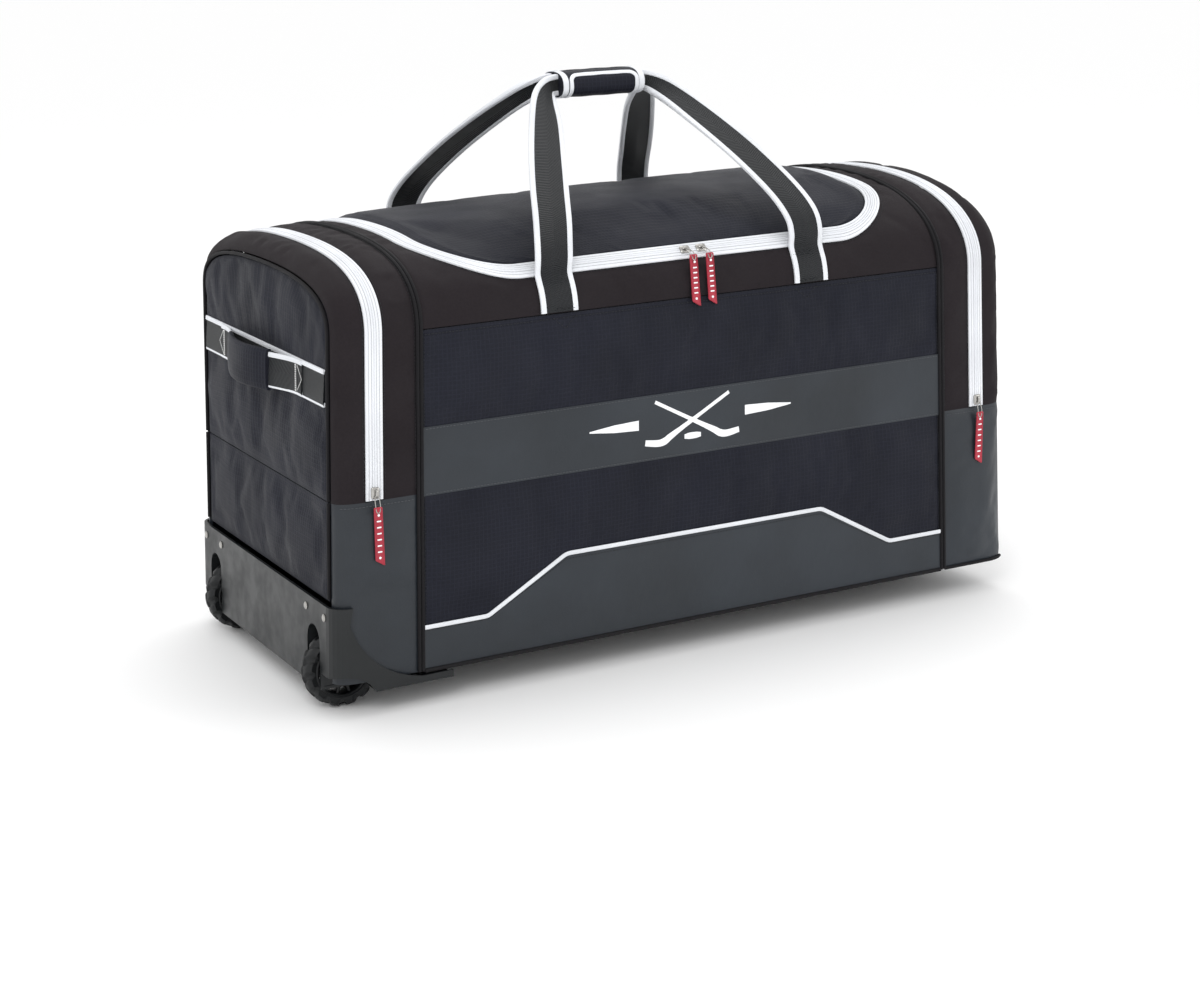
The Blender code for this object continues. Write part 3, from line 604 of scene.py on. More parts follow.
def blown(rest, faces, pins):
    """Cloth simulation of the joined panels, and where each point ends up."""
    mesh = bpy.data.meshes.new("cloth_run")
    mesh.from_pydata(rest.tolist(), [], faces)
    obj = bpy.data.objects.new("cloth_run", mesh)
    bpy.context.scene.collection.objects.link(obj)
    group = obj.vertex_groups.new(name="seams")
    for weight in np.unique(pins):
        if weight > 0:
            group.add(np.nonzero(pins == weight)[0].tolist(), float(weight), "REPLACE")
    cloth = obj.modifiers.new("cloth", "CLOTH")
    settings = cloth.settings
    settings.quality = 5
    settings.mass = 0.15
    settings.air_damping = 3.0
    settings.tension_stiffness = 18
    settings.compression_stiffness = 18
    settings.shear_stiffness = 6
    settings.bending_stiffness = 0.35
    settings.vertex_group_mass = "seams"
    settings.shrink_min = -0.010
    settings.use_pressure = True
    settings.uniform_pressure_force = 0.9
    settings.effector_weights.gravity = 0
    cloth.point_cache.frame_start = 1
    cloth.point_cache.frame_end = 20
    for step in range(1, 21):
        bpy.context.scene.frame_set(step)
    shown = obj.evaluated_get(bpy.context.evaluated_depsgraph_get()).data
    moved = np.empty(len(rest) * 3, np.float32)
    shown.vertices.foreach_get("co", moved)
    bpy.data.objects.remove(obj, do_unlink=True)
    bpy.context.scene.frame_set(1)
    return moved.reshape(-1, 3).astype(float)


def lid_outline(offset):
    """Plan points this far outside the lid's zip, from the left end of the fold round to its right end."""
    low, high = LID_X[0] - offset, LID_X[1] + offset
    front = arch(-LID_Q, 0.0)[0] - PLAN_SLOPE * offset
    back = arch(LID_Q, 0.0)[0]
    radius = LID_CORNER + offset
    sides, corners, straight = LID_COUNTS
    turn = np.linspace(0, math.pi / 2, corners)[1:-1]
    down = np.linspace(back, front + radius, sides)
    along = np.linspace(low + radius, high - radius, straight)
    left = np.stack([low + radius - radius * np.cos(turn), front + radius - radius * np.sin(turn)], axis=-1)
    right = np.stack([high - radius + radius * np.sin(turn), front + radius - radius * np.cos(turn)], axis=-1)
    return np.concatenate([
        np.stack([np.full(sides, low), down], axis=-1),
        left,
        np.stack([along, np.full(straight, front)], axis=-1),
        right,
        np.stack([np.full(sides, high), down[::-1]], axis=-1),
    ])


def along_rows(table, share):
    """A table's row at each share from 0 to 1, between its rows."""
    at = np.clip(share, 0, 1) * (len(table) - 1)
    low = np.minimum(at.astype(int), len(table) - 2)
    return lerp(table[low], table[low + 1], (at - low)[..., None])


def main_panels():
    seam = SEAM_X - 0.0012

    def front(u, v):
        return skin(lerp(-seam, seam, u), lerp(-1.998, -1.002, v))

    def back(u, v):
        return skin(lerp(seam, -seam, u), lerp(1.998, 1.002, v))

    def sewn_front(p):
        strap = (np.abs(np.abs(p[..., 0]) - STRAP_X) < 0.028) & (p[..., 2] > 0.425)
        band = (p[..., 2] > BAND_Z[0] - 0.002) & (p[..., 2] < BAND_Z[1] + 0.002)
        skirt = p[..., 2] < skirt_top(p[..., 0] - CENTRE_X) + 0.003
        return (strap | band | skirt).astype(float)

    def sewn_back(p):
        strap = (np.abs(np.abs(p[..., 0]) - STRAP_X) < 0.028) & (p[..., 2] > 0.425)
        return strap.astype(float)

    size = (2 * seam * 0.985, SHOULDER_Z - FOOT_Z)
    return [
        Panel("front_cloth", front, size, "ripstop", "root", ["front_panel"], sewn_front),
        Panel("back_cloth", back, size, "ripstop", "root", ["back_panel"], sewn_back),
    ]


def skirt_top(x):
    """Height of the coated skirt's upper edge."""
    return np.interp(np.abs(x), SKIRT_RAMP, (SKIRT_HIGH, SKIRT_LOW))


def coated_panels():
    reach = SEAM_X - 0.0020

    def band(u, v):
        return skin(lerp(-reach, reach, u), q_of(lerp(*BAND_Z, v)))

    def skirt(u, v):
        x = lerp(-reach, reach, u)
        return skin(x, q_of(lerp(FOOT_Z + 0.004, skirt_top(x), v)))

    def stuck(p):
        return np.full(p.shape[:-1], 0.85)

    options = {"thick": -0.0002, "lift": 0.0011, "roll": 0.0003, "held": stuck}
    tall = BAND_Z[1] - BAND_Z[0]
    return [
        Panel("front_band_cloth", band, (2 * reach, tall), "coated", "root", ["front_band"], **options),
        Panel("front_skirt_cloth", skirt, (2 * reach, 0.080), "coated", "root", ["front_skirt"], **options),
    ]


def top_panels():
    inner = lid_outline(ZIP_HALF + 0.0004)
    back_q, seam = LID_Q, SEAM_X - 0.0012
    q = q_of_y(inner[:, 1])
    z = arch(q, inner[:, 0] - CENTRE_X)[1]
    x = (inner[:, 0] - CENTRE_X) / (1 - TAPER * (z - TAPER_BASE_Z))
    edge = np.stack([x, q], axis=-1)
    # the outer border: down the left seam, along the shoulder, and up the right seam
    sides, corners, _ = LID_COUNTS
    half_corner, shoulder_q = corners // 2 - 1, -1.0 + 0.002
    corner = sides + half_corner
    outer = edge.copy()
    outer[:corner, 0], outer[-corner:, 0] = -seam, seam
    outer[corner:-corner, 1] = shoulder_q
    below = np.linspace(edge[sides - 1, 1], shoulder_q, half_corner + 1)[1:]
    down = np.concatenate([edge[:sides, 1], below])
    outer[:corner, 1], outer[-corner:, 1] = down, down[::-1]
    across = np.linspace(-seam, seam, len(edge) - 2 * corner + 2)[1:-1]
    turn = np.linspace(0, 1, len(across))
    straight = edge[corner:-corner, 0]
    ease = smooth(np.minimum(turn, 1 - turn) / 0.25)
    outer[corner:-corner, 0] = lerp(across, straight, ease)

    def surround(u, v):
        near, far = along_rows(edge, u), along_rows(outer, u)
        mixed = lerp(near, far, v[..., None])
        return skin(mixed[..., 0], mixed[..., 1])

    def sewn(p):
        strap = (np.abs(np.abs(p[..., 0]) - STRAP_X) < 0.028) & (p[..., 1] < -0.19)
        return strap.astype(float)

    def strip_back(u, v):
        return skin(lerp(-seam, seam, u), lerp(1 - 0.002, back_q + 0.003, v))

    def sewn_back(p):
        strap = (np.abs(np.abs(p[..., 0]) - STRAP_X) < 0.028) & (p[..., 1] > 0.19)
        return strap.astype(float)

    front = arch(-LID_Q, 0.0)[0] + PLAN_SLOPE * (ZIP_HALF + 0.0006)
    rear = arch(back_q, 0.0)[0] - 0.001
    radius = LID_CORNER - ZIP_HALF
    low, high = LID_X[0] + ZIP_HALF + 0.0006, LID_X[1] - ZIP_HALF - 0.0006

    rounding = 0.24  # share of the lid's depth that its round corners take

    def lid(u, v):
        turn = np.clip(v / rounding, 0, 1) * math.pi / 2
        straight = lerp(front + radius, rear, (v - rounding) / (1 - rounding))
        y = np.where(v < rounding, front + radius * (1 - np.cos(turn)), straight)
        inset = np.where(v < rounding, radius * (1 - np.sin(turn)), 0.0)
        return on_top(lerp(low + inset, high - inset, u), y)

    top = ["top_front_panel", "top_left_panel", "top_right_panel"]
    back = (2 * seam * 0.96, 0.058)
    return [
        Panel("top_surround_cloth", surround, (1.35, 0.062), "plain", "root", top, sewn),
        Panel("top_back_cloth", strip_back, back, "plain", "root", ["top_back_panel"], sewn_back),
        Panel("lid_cloth", lid, (high - low, 0.42), "ripstop", "lid", ["lid_panel"]),
    ]


def end_panels():
    fold = q_of(END_ZIP_Z)
    made = []
    for end, side in (("left", -1), ("right", 1)):

        def towards_end(low, high, u):
            return lerp(low, high, 1 - (1 - u) ** 1.7)

        def gusset(u, v, side=side):
            return skin(side * lerp(SEAM_X + 0.0014, END_ZIP_X - ZIP_HALF - 0.0004, u), lerp(fold, -fold, v))

        def rim(u, v, side=side):
            x = towards_end(END_ZIP_X + ZIP_HALF + 0.0004, HALF_LENGTH, u)
            return skin(side * x, lerp(fold, -fold, v))

        flap = f"{end}_end_flap"
        made.append(Panel(f"{end}_gusset_cloth", gusset, (0.044, 1.05), "plain", "root", [f"{end}_gusset"]))
        made.append(Panel(f"{end}_rim_cloth", rim, (0.046, 1.05), "plain", flap, [f"{end}_end_rim"]))
        for face, turn in (("front", 1), ("back", -1)):

            def corner(u, v, side=side, turn=turn):
                x = towards_end(SEAM_X + 0.0014, HALF_LENGTH, u)
                return skin(side * x, turn * lerp(-1.998, fold, v))

            def under_guard(p):
                return (p[..., 2] < 0.150).astype(float)

            name = f"{end}_corner_{face}"
            held = under_guard if side < 0 else None
            made.append(Panel(f"{name}_cloth", corner, (0.118, 0.208), "coated", "root", [name], held))

        clear = FABRIC + GAP + 0.0008
        shoulder = 0.84

        def outline(q, side=side):
            return skin(np.full(np.shape(q), side * HALF_LENGTH), q, -clear)[..., 1:]

        def upper(u, v, side=side, outline=outline):
            left, right = outline(lerp(fold, -shoulder, v)), outline(lerp(-fold, shoulder, v))
            top = outline(lerp(-shoulder, shoulder, u))
            half = outline(np.array(-fold))[0]
            low = np.stack([lerp(-half, half, u), np.full(u.shape, END_ZIP_Z + 0.0004)], axis=-1)
            ends = [outline(np.array(q)) for q in (-shoulder, shoulder)]
            feet = [np.array((s * half, END_ZIP_Z + 0.0004)) for s in (-1, 1)]
            a, b = u[..., None], v[..., None]
            lows = (1 - a) * (1 - b) * feet[0] + a * (1 - b) * feet[1]
            bilinear = lows + (1 - a) * b * ends[0] + a * b * ends[1]
            flat = (1 - a) * left + a * right + (1 - b) * low + b * top - bilinear
            return np.stack([lean(side * HALF_LENGTH, flat[..., 1]), flat[..., 0], flat[..., 1]], axis=-1)

        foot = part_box(f"{end}_end_panel_lower")[0].z

        def lower(u, v, side=side, foot=foot, outline=outline):
            half = outline(np.array(-fold))[0]
            y, z = lerp(-half, half, u), lerp(foot, END_ZIP_Z - 0.0012, v)
            return np.stack([lean(side * HALF_LENGTH, z), y, z], axis=-1)

        def sewn(p):
            return ((p[..., 2] > GRAB_Z[0]) & (p[..., 2] < GRAB_Z[1])).astype(float)

        held = sewn if side < 0 else None
        size = (0.388, 0.25)
        made.append(Panel(f"{end}_end_cloth", upper, size, "ripstop", flap, [f"{end}_end_panel"], held))
        size = (0.388, END_ZIP_Z - foot)
        lower_node = [f"{end}_end_panel_lower"]
        made.append(Panel(f"{end}_end_lower_cloth", lower, size, "ripstop", "root", lower_node))
    return made


# ---------------------------------------------------------------- seams and piping
def tube(name, path, radius, finish, body, sides=8, nodes=()):
    path = np.asarray(path, float)
    away = path - MIDDLE
    return strip(name, path, away, rounded(2 * radius, 2 * radius, sides, 2.0), finish, body, nodes)


def make_welts():
    """Corded seams: a pair round the bag at each gusset, one round each end face, and bindings along the foot
    of the front and back.
    """
    over = np.linspace(-1.996, 1.996, 230)
    fold = q_of(END_ZIP_Z)
    for end, side in (("left", -1), ("right", 1)):
        for which, x in (("inner", SEAM_X - 0.0020), ("outer", SEAM_X + 0.0026)):
            tube(f"{end}_welt_{which}", skin(side * x, over, 0.0009), 0.0022, "welt", "root")
        flap = np.linspace(fold + 0.004, -fold - 0.004, 150)
        low = 0.14 if side < 0 else 0.050
        runs = [(f"{end}_end_welt", flap, f"{end}_end_flap")]
        for face, turn in (("front", 1), ("back", -1)):
            below = turn * np.linspace(q_of(low), fold - 0.002, 24)
            runs.append((f"{end}_end_welt_{face}", below, "root"))
        for name, q, body in runs:
            edge = skin(side * HALF_LENGTH, q, -FABRIC * 0.62)
            edge[:, 0] += side * 0.0006
            tube(name, edge, 0.0021, "welt", body)
    along = np.linspace(-SEAM_X + 0.004, SEAM_X - 0.004, 90)
    for face, turn in (("front", -1), ("back", 1)):
        tube(f"{face}_foot_binding", skin(along, turn * 1.996, 0.0008), 0.0026, "welt", "root")
    corner = np.linspace(SEAM_X + 0.004, HALF_LENGTH - 0.004, 18)
    for face, turn in (("front", -1), ("back", 1)):
        tube(f"right_{face}_corner_binding", skin(corner, turn * 1.996, 0.0004), 0.0022, "welt", "root")


def make_front_piping():
    """The white line along the skirt's stepped edge."""
    reach = SEAM_X - 0.004
    near, far = SKIRT_RAMP
    half = [(near, SKIRT_HIGH), (far, SKIRT_LOW), (reach, SKIRT_LOW)]
    corners = [(-x, z) for x, z in half[::-1]] + half
    line = even([(x, z + 0.0020) for x, z in corners], 0.004)
    line[1:-1] = (line[:-2] + 2 * line[1:-1] + line[2:]) / 4
    path = skin(line[:, 0], q_of(line[:, 1]), 0.0016)
    ups = np.tile((0.0, -1.0, 0.0), (len(path), 1))
    strip("front_piping_line", path, ups, rounded(0.0052, 0.0022), "binding", "root", ["front_piping"])


# ---------------------------------------------------------------- zips
def tape_profile(side):
    """One zip tape from its slit outwards: the coil's ridge, a step, a stitched line and a thin edge."""
    shape = (
        (0.00015, -0.0010), (0.00015, 0.0016), (0.0007, 0.0021), (0.0022, 0.0021), (0.0029, 0.0012),
        (0.0033, 0.0014), (0.0062, 0.0013), (0.0066, 0.0009), (0.0070, 0.0013), (0.0101, 0.0012),
        (0.0105, 0.0007), (0.0105, -0.0010),
    )
    return [(side * a, h) for a, h in shape]


def zip_tape(name, place, count, side, body, nodes):
    """A tape: place(share, across) gives the skin's points and normals along the zip."""
    share = np.linspace(0, 1, count)
    rings, uv = [], []
    at = lengths(place(share, 0.0)[0])
    for across, up in tape_profile(side):
        point, normal = place(share, across)
        rings.append(point + normal * up)
        uv.append(np.stack([np.full(count, across), at], axis=-1))
    rings, uv = np.stack(rings, axis=1), np.stack(uv, axis=1)
    return sweep(name, rings, "tape", body, uv=uv, nodes=nodes, sharp=50)


def main_zip_place(share, across):
    outline = lid_outline(across)
    rows = along_rows(outline, share)
    point = on_top(rows[:, 0], rows[:, 1])
    outer = on_top(rows[:, 0], rows[:, 1], 0.002)
    return point, unit(outer - point)


def end_zip_place(side):
    fold = q_of(END_ZIP_Z) + 0.004

    def place(share, across):
        q = lerp(fold, -fold, share)
        x = side * (END_ZIP_X + across)
        point = skin(x, q)
        return point, unit(skin(x, q, 0.002) - point)

    return place


def make_zips():
    count = len(lid_outline(0.0))
    zip_tape("main_zip_outer", main_zip_place, count, 1, "root", ["main_zip_tape_body"])
    zip_tape("main_zip_inner", main_zip_place, count, -1, "lid", ["main_zip_tape_lid"])
    for end, side in (("left", -1), ("right", 1)):
        place = end_zip_place(side)
        zip_tape(f"{end}_zip_inner", place, 190, -1, "root", [f"{end}_zip_tape_body"])
        zip_tape(f"{end}_zip_outer", place, 190, 1, f"{end}_end_flap", [f"{end}_zip_tape_flap"])


# ---------------------------------------------------------------- carry handles
LEG = (  # distance from the middle, y, z, face angle, width and thickness, from the foot to the wrap
    (STRAP_X, -0.2085, 0.4805, 20, STRAP_WIDTH, 0.003),
    (0.1695, -0.2100, 0.4960, 8, STRAP_WIDTH, 0.003),
    (0.1670, -0.2050, 0.5150, 22, STRAP_WIDTH, 0.003),
    (0.1590, -0.1880, 0.5380, 38, STRAP_WIDTH, 0.003),
    (0.1460, -0.1580, 0.5650, 45, STRAP_WIDTH, 0.003),
    (0.1270, -0.1180, 0.5970, 44, 0.046, 0.003),
    (0.1030, -0.0700, 0.6310, 38, 0.042, 0.004),
    (0.0850, -0.0330, 0.6540, 20, 0.034, 0.006),
    (0.0700, -0.0130, 0.6655, 4, 0.026, 0.007),
    (0.0580, -0.0083, 0.6680, 0, 0.026, 0.007),
    (0.0450, -0.0083, 0.6680, 0, 0.026, 0.007),
)
FOOT_HEIGHTS = (0.4370, 0.4450, 0.4540, 0.4630, 0.4710)
GRIP_HALF, GRIP_MIDDLE = 0.055, 0.668
GRIP_SIZE = (0.028, 0.016)  # half depth and half height of the closed wrap
WRAP_SPLIT = 0.0014


def foot_q(z):
    """The q of this height on the front of a strap foot."""
    q = np.linspace(-1, -0.6, 90)
    return float(np.interp(z, arch(q, STRAP_X)[1], q))


def strap_path(mirror):
    """Rows of x, y, z, face angle, width and thickness from one sewn foot over the grip to the other."""
    rows = []
    for z in FOOT_HEIGHTS:
        q = foot_q(z)
        point, outer = skin(STRAP_X, q, 0.0022), skin(STRAP_X, q, 0.0032)
        angle = math.degrees(math.atan2(outer[2] - point[2], point[1] - outer[1]))
        rows.append((STRAP_X, point[1], point[2], angle, STRAP_WIDTH, 0.0022))
    half = even(curved(rows + list(LEG), 10), 0.004)
    left = half.copy()
    left[:, 0] *= -1
    path = np.concatenate([left, half[::-1]])
    if mirror > 0:
        path[:, 1] *= -1
    angle = np.radians(path[:, 3])
    face = np.stack([np.zeros(len(path)), mirror * np.cos(angle), np.sin(angle)], axis=-1)
    side = unit(np.cross(tangents(path[:, :3]), face))
    return path, side, np.cross(side, tangents(path[:, :3]))


def strap_piece(name, mirror, shape, finish, nodes=()):
    """Part of a strap: shape(width, thick) gives its profile (across, up) at each place."""
    path, side, up = strap_path(mirror)
    rings, uv = [], []
    at = lengths(path[:, :3])
    for i, row in enumerate(path):
        profile = shape(row[4], row[5])
        rings.append(row[:3] + side[i] * profile[:, :1] + up[i] * profile[:, 1:])
        uv.append(np.stack([profile[:, 0], np.full(len(profile), at[i])], axis=-1))
    obj = sweep(name, rings, finish, None, uv=np.array(uv), nodes=nodes)
    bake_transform(obj)
    return obj


def make_carry_handle(end, mirror):
    """Ribbed webbing with a white binding folded over each edge, and half of the grip wrap."""

    def webbing(width, thick):
        return rounded(width - 0.004, thick * 0.86, 16, 5.0)

    strap_piece(f"{end}_strap_webbing", mirror, webbing, "webbing", [f"{end}_handle_strap"])
    for which, edge in (("lower", -1), ("upper", 1)):

        def binding(width, thick, edge=edge):
            profile = rounded(0.0068, thick + 0.0016, 12, 3.2)
            profile[:, 0] += edge * (width / 2 - 0.0034)
            return profile

        strap_piece(f"{end}_strap_{which}_binding", mirror, binding, "binding")

    def around(x, turn, out=0.0):
        """A point of the wrap's surface: turn runs from the top over the outside to the bottom."""
        x, turn = np.broadcast_arrays(np.asarray(x, float), np.asarray(turn, float))
        pinch = 1 - 0.07 * (np.abs(x) / GRIP_HALF) ** 4 + 0.012 * np.sin(x * 190 + turn * 2)
        c, s = np.cos(turn), np.sin(turn)
        power = 2 / 2.5
        y = GRIP_SIZE[0] * pinch * np.abs(s) ** power + WRAP_SPLIT * 0.4
        z = GRIP_MIDDLE + GRIP_SIZE[1] * pinch * np.sign(c) * np.abs(c) ** power
        y, z = y + out * s, z + out * c
        return np.stack([x, mirror * y, z], axis=-1)

    xs = np.linspace(-GRIP_HALF, GRIP_HALF, 45)
    turns = np.linspace(0.03, math.pi - 0.03, 30)
    rings = [around(x, turns) for x in xs]
    sweep(f"{end}_wrap_cloth", rings, "ripstop", f"{end}_handle", nodes=[f"{end}_handle_wrap"], sharp=60)

    def band(name, line, width):
        """A white binding along a line of (x, turn) on the wrap."""
        line = even(line, 0.05)
        path = around(line[:, 0], line[:, 1], 0.0004)
        ups = around(line[:, 0], line[:, 1], 0.0020) - path
        strip(name, path, ups, rounded(width, 0.0016, 10, 3.0), "binding", f"{end}_handle")

    for which, x in (("left", -1), ("right", 1)):
        turns = np.linspace(0.03, math.pi - 0.03, 40)
        line = np.stack([np.full(40, x * (GRIP_HALF - 0.003)), turns], axis=-1)
        band(f"{end}_wrap_{which}_band", line, 0.0078)
    corner = np.linspace(0, math.pi / 2, 12)
    left_x, top_turn = -GRIP_HALF + 0.010, 0.80
    sides = np.linspace(math.pi - 0.2, top_turn + 0.55, 14)
    left = np.stack([np.full(14, left_x), sides], axis=-1)
    bend = np.stack([left_x + 0.012 * (1 - np.cos(corner)), top_turn + 0.55 * (1 - np.sin(corner))], axis=-1)
    right = np.concatenate([left, bend])[::-1] * (-1, 1)
    if mirror < 0:
        band(f"{end}_wrap_flap_binding", np.concatenate([left, bend, right]), 0.0052)


def make_strap_stitching():
    """A bar tack across each strap above its foot, and the stitched V below it."""
    for end, mirror in (("front", -1), ("back", 1)):
        for which, side in (("left", -1), ("right", 1)):
            for row, z in enumerate((0.4685, 0.4715, 0.4400)):
                q = foot_q(z)
                x = side * STRAP_X + np.linspace(-0.0165, 0.0165, 14) - CENTRE_X
                path, up = skin(x, -mirror * q, 0.0034), skin(x, -mirror * q, 0.0044)
                name = f"{end}_{which}_tack_{row}"
                stitches(name, path, up - path, "thread_dark", "root", 0.0030, 0.0024, 0.0004)
            x = side * STRAP_X - CENTRE_X + np.array((-0.017, 0.0, 0.017))
            line = even(np.stack([x, np.array((0.4325, 0.4180, 0.4325))], axis=-1), 0.002)
            cloth = PANELS[f"{end}_cloth"]
            u = (line[:, 0] * -mirror / (SEAM_X - 0.0012) + 1) / 2
            v = (line[:, 1] - FOOT_Z) / (SHOULDER_Z - FOOT_Z)
            path, up = cloth.place(u, v, 0.0)
            stitches(f"{end}_{which}_foot_v", path, up, "thread_dark", "root")


# ---------------------------------------------------------------- grab handle
def make_grab_handle():
    """Bound webbing across the end face, and a bound loop tacked over it with a padded sleeve."""
    flap = "left_end_flap"
    middle, half = (GRAB_Z[0] + GRAB_Z[1]) / 2, (GRAB_Z[1] - GRAB_Z[0]) / 2

    def bulge(y):
        reach = np.minimum(1.0, np.abs(y) / GRAB_TACK_Y)
        return GRAB_BULGE * (1 - reach * reach) ** 2

    def band(name, y, out, height, profile, finish, nodes=()):
        path = np.stack([lean(-HALF_LENGTH - out, height) + 0.0 * y, y, height + 0.0 * y], axis=-1)
        return strip(name, path, np.tile((-1.0, 0.0, 0.1), (len(y), 1)), profile, finish, flap, nodes)

    def bound(piece, y, out, webbing, binding, inset, node):
        """Webbing across the face, and a white binding along each edge."""
        band(f"grab_{piece}_webbing", y, out[0], middle, webbing, "webbing", [node])
        for which, edge in (("upper", 1), ("lower", -1)):
            height = middle + edge * (half - inset)
            band(f"grab_{piece}_{which}_binding", y, out[1], height, binding, "binding")

    y = np.linspace(-0.191, 0.191, 90)
    webbing, binding = rounded(2 * half - 0.004, 0.0018, 16, 5.0), rounded(0.0058, 0.0028, 12, 3.0)
    bound("base", y, (0.0012 + 0 * y, 0.0014 + 0 * y), webbing, binding, 0.0026, "grab_handle_base")
    y = np.linspace(-GRAB_TACK_Y - 0.012, GRAB_TACK_Y + 0.012, 110)
    out = 0.0030 + bulge(y)
    webbing, binding = rounded(2 * half - 0.005, 0.0020, 16, 5.0), rounded(0.0060, 0.0034, 12, 3.0)
    bound("loop", y, (out, out), webbing, binding, 0.0034, "grab_handle_strap")

    y = np.linspace(-0.063, 0.063, 60)
    swell = 1 - 0.16 * np.abs(y / 0.063) ** 6
    folds = 1 + 0.05 * np.sin(y * 260) * np.abs(y / 0.063)
    rings = []
    for spot, size in zip(y, swell * folds):
        profile = rounded(2 * half + 0.006, 0.0100, 28, 3.4) * (1.0, size)
        depth = 0.0030 + 0.0008 + bulge(spot)
        z = middle + profile[:, 0]
        x = lean(-HALF_LENGTH - depth, middle) - profile[:, 1] + TAPER * HALF_LENGTH * profile[:, 0]
        rings.append(np.stack([x, np.full(len(z), spot), z], axis=-1))
    pad = sweep("grab_pad_sleeve", rings, "ripstop", flap, nodes=["grab_handle_pad"], sharp=70)

    for side in (-1, 1):
        name = "front" if side < 0 else "back"
        z = np.linspace(GRAB_Z[0] + 0.004, GRAB_Z[1] - 0.004, 10)
        for row, offset in enumerate((0.0, 0.0022)):
            y = side * (GRAB_TACK_Y - offset) + 0 * z
            path = np.stack([lean(-HALF_LENGTH, z) - 0.0054, y, z], axis=-1)
            ups = np.tile((-1.0, 0.0, 0.0), (len(z), 1))
            stitches(f"grab_{name}_tack_{row}", path, ups, "thread_white", flap, 0.0026, 0.0021, 0.00042)
        arrow = even([(0.0, GRAB_Z[1] - 0.006), (0.014, middle), (0.0, GRAB_Z[0] + 0.006)], 0.002)
        y = side * (GRAB_TACK_Y + 0.002 + arrow[:, 0])
        path = np.stack([lean(-HALF_LENGTH, arrow[:, 1]) - 0.0050, y, arrow[:, 1]], axis=-1)
        ups = np.tile((-1.0, 0.0, 0.0), (len(path), 1))
        stitches(f"grab_{name}_arrow", path, ups, "thread_white", flap, 0.0026, 0.0021, 0.00036)


# ---------------------------------------------------------------- wheels
def make_tyre(end):
    """A tyre whose lugs zigzag round it and wrap over its shoulders."""
    low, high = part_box(f"{end}_wheel_tyre")
    centre, radius = (low + high) / 2, (high.z - low.z) / 2
    half, inner, lugs, steps = (high.y - low.y) / 2, 0.0334, 13, 12
    across = np.linspace(-1, 1, 17)
    rings = []
    for angle in np.arange(lugs * steps) * math.tau / (lugs * steps):
        phase = angle * lugs / math.tau + 0.42 * np.abs(across) + 0.5 * (across > 0)
        saw = phase % 1.0
        lug = smooth(saw / 0.16) * (1 - smooth((saw - 0.62) / 0.16))
        crown = radius - 0.0050 * np.abs(across) ** 3.2
        tread = crown - 0.0052 * (1 - lug) * (0.45 + 0.55 * np.abs(across))
        side = np.sign(across) * np.abs(across) ** 0.9 * (half - 0.0012 * (1 - lug))
        wall = [(0.0385, -half * 0.92), (inner, -half * 0.80), (inner, half * 0.80), (0.0385, half * 0.92)]
        profile = np.concatenate([np.stack([tread, side], axis=-1), np.array(wall[::-1])])
        c, s = math.cos(angle), math.sin(angle)
        ring = np.stack([profile[:, 0] * c, profile[:, 1], profile[:, 0] * s], axis=-1)
        rings.append(ring + np.array(centre))
    node = [f"{end}_wheel_tyre"]
    sweep(f"{end}_tyre_tread", rings, "tyre", f"{end}_wheel", closed=True, nodes=node, sharp=38)


def make_hub(end):
    """A dished rim, five open windows between forked spokes, and a bossed middle."""
    low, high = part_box(f"{end}_wheel_hub")
    centre, half = (low + high) / 2, (high.y - low.y) / 2

    def turned(name, profile, finish, count=72):
        rings = []
        for angle in np.arange(count) * math.tau / count:
            c, s = math.cos(angle), math.sin(angle)
            rings.append([(centre.x + r * c, centre.y + y, centre.z + r * s) for r, y in profile])
        sweep(name, rings, finish, f"{end}_wheel", closed=True, nodes=(), sharp=35)

    rim = [(0.0332, -half), (0.0332, half), (0.0318, half + 0.0006), (0.0300, half - 0.0004)]
    rim += [(0.0292, half - 0.003)]
    rim += [(0.0286, 0.0), (0.0292, 0.003 - half), (0.0300, 0.0004 - half), (0.0318, -half - 0.0006)]
    turned(f"{end}_hub_rim", rim, "wheel")
    boss = [(0.0064, -half - 0.002), (0.0110, -half - 0.002), (0.0124, -half), (0.0128, 0.0), (0.0124, half)]
    boss += [(0.0110, half + 0.002), (0.0064, half + 0.002)]
    turned(f"{end}_hub_boss", boss, "wheel", 48)
    for i in range(5):
        for fork, lead in enumerate((-1, 1)):
            angle = math.radians(54 + 72 * i)
            tip = angle + lead * math.radians(15)
            root, far = 0.0115, 0.0298
            start = np.array((math.cos(angle + lead * 0.10), 0, math.sin(angle + lead * 0.10))) * root
            stop = np.array((math.cos(tip), 0, math.sin(tip))) * far
            path = np.linspace(start, stop, 7) + np.array(centre)
            profile = rounded(0.0042, 2 * half - 0.006, 12, 3.5)
            ups = np.tile((0.0, 1.0, 0.0), (7, 1))
            strip(f"{end}_hub_spoke_{i}_{fork}", path, ups, profile, "wheel", f"{end}_wheel")


# ---------------------------------------------------------------- sliders and pulls
def oblong(width, height, radius, count=6, slant=0.0):
    """Outline (across, down) of a tab with round corners, its lower edge slanted."""
    points = []
    for cx, cy, start in ((1, 1, 0), (-1, 1, 90), (-1, -1, 180), (1, -1, 270)):
        for angle in np.radians(np.linspace(start, start + 90, count)):
            x = cx * (width / 2 - radius) + radius * math.cos(angle)
            y = cy * (height / 2 - radius) + radius * math.sin(angle)
            points.append((x, y + slant * (x / width) * (y > 0)))
    return np.array(points)


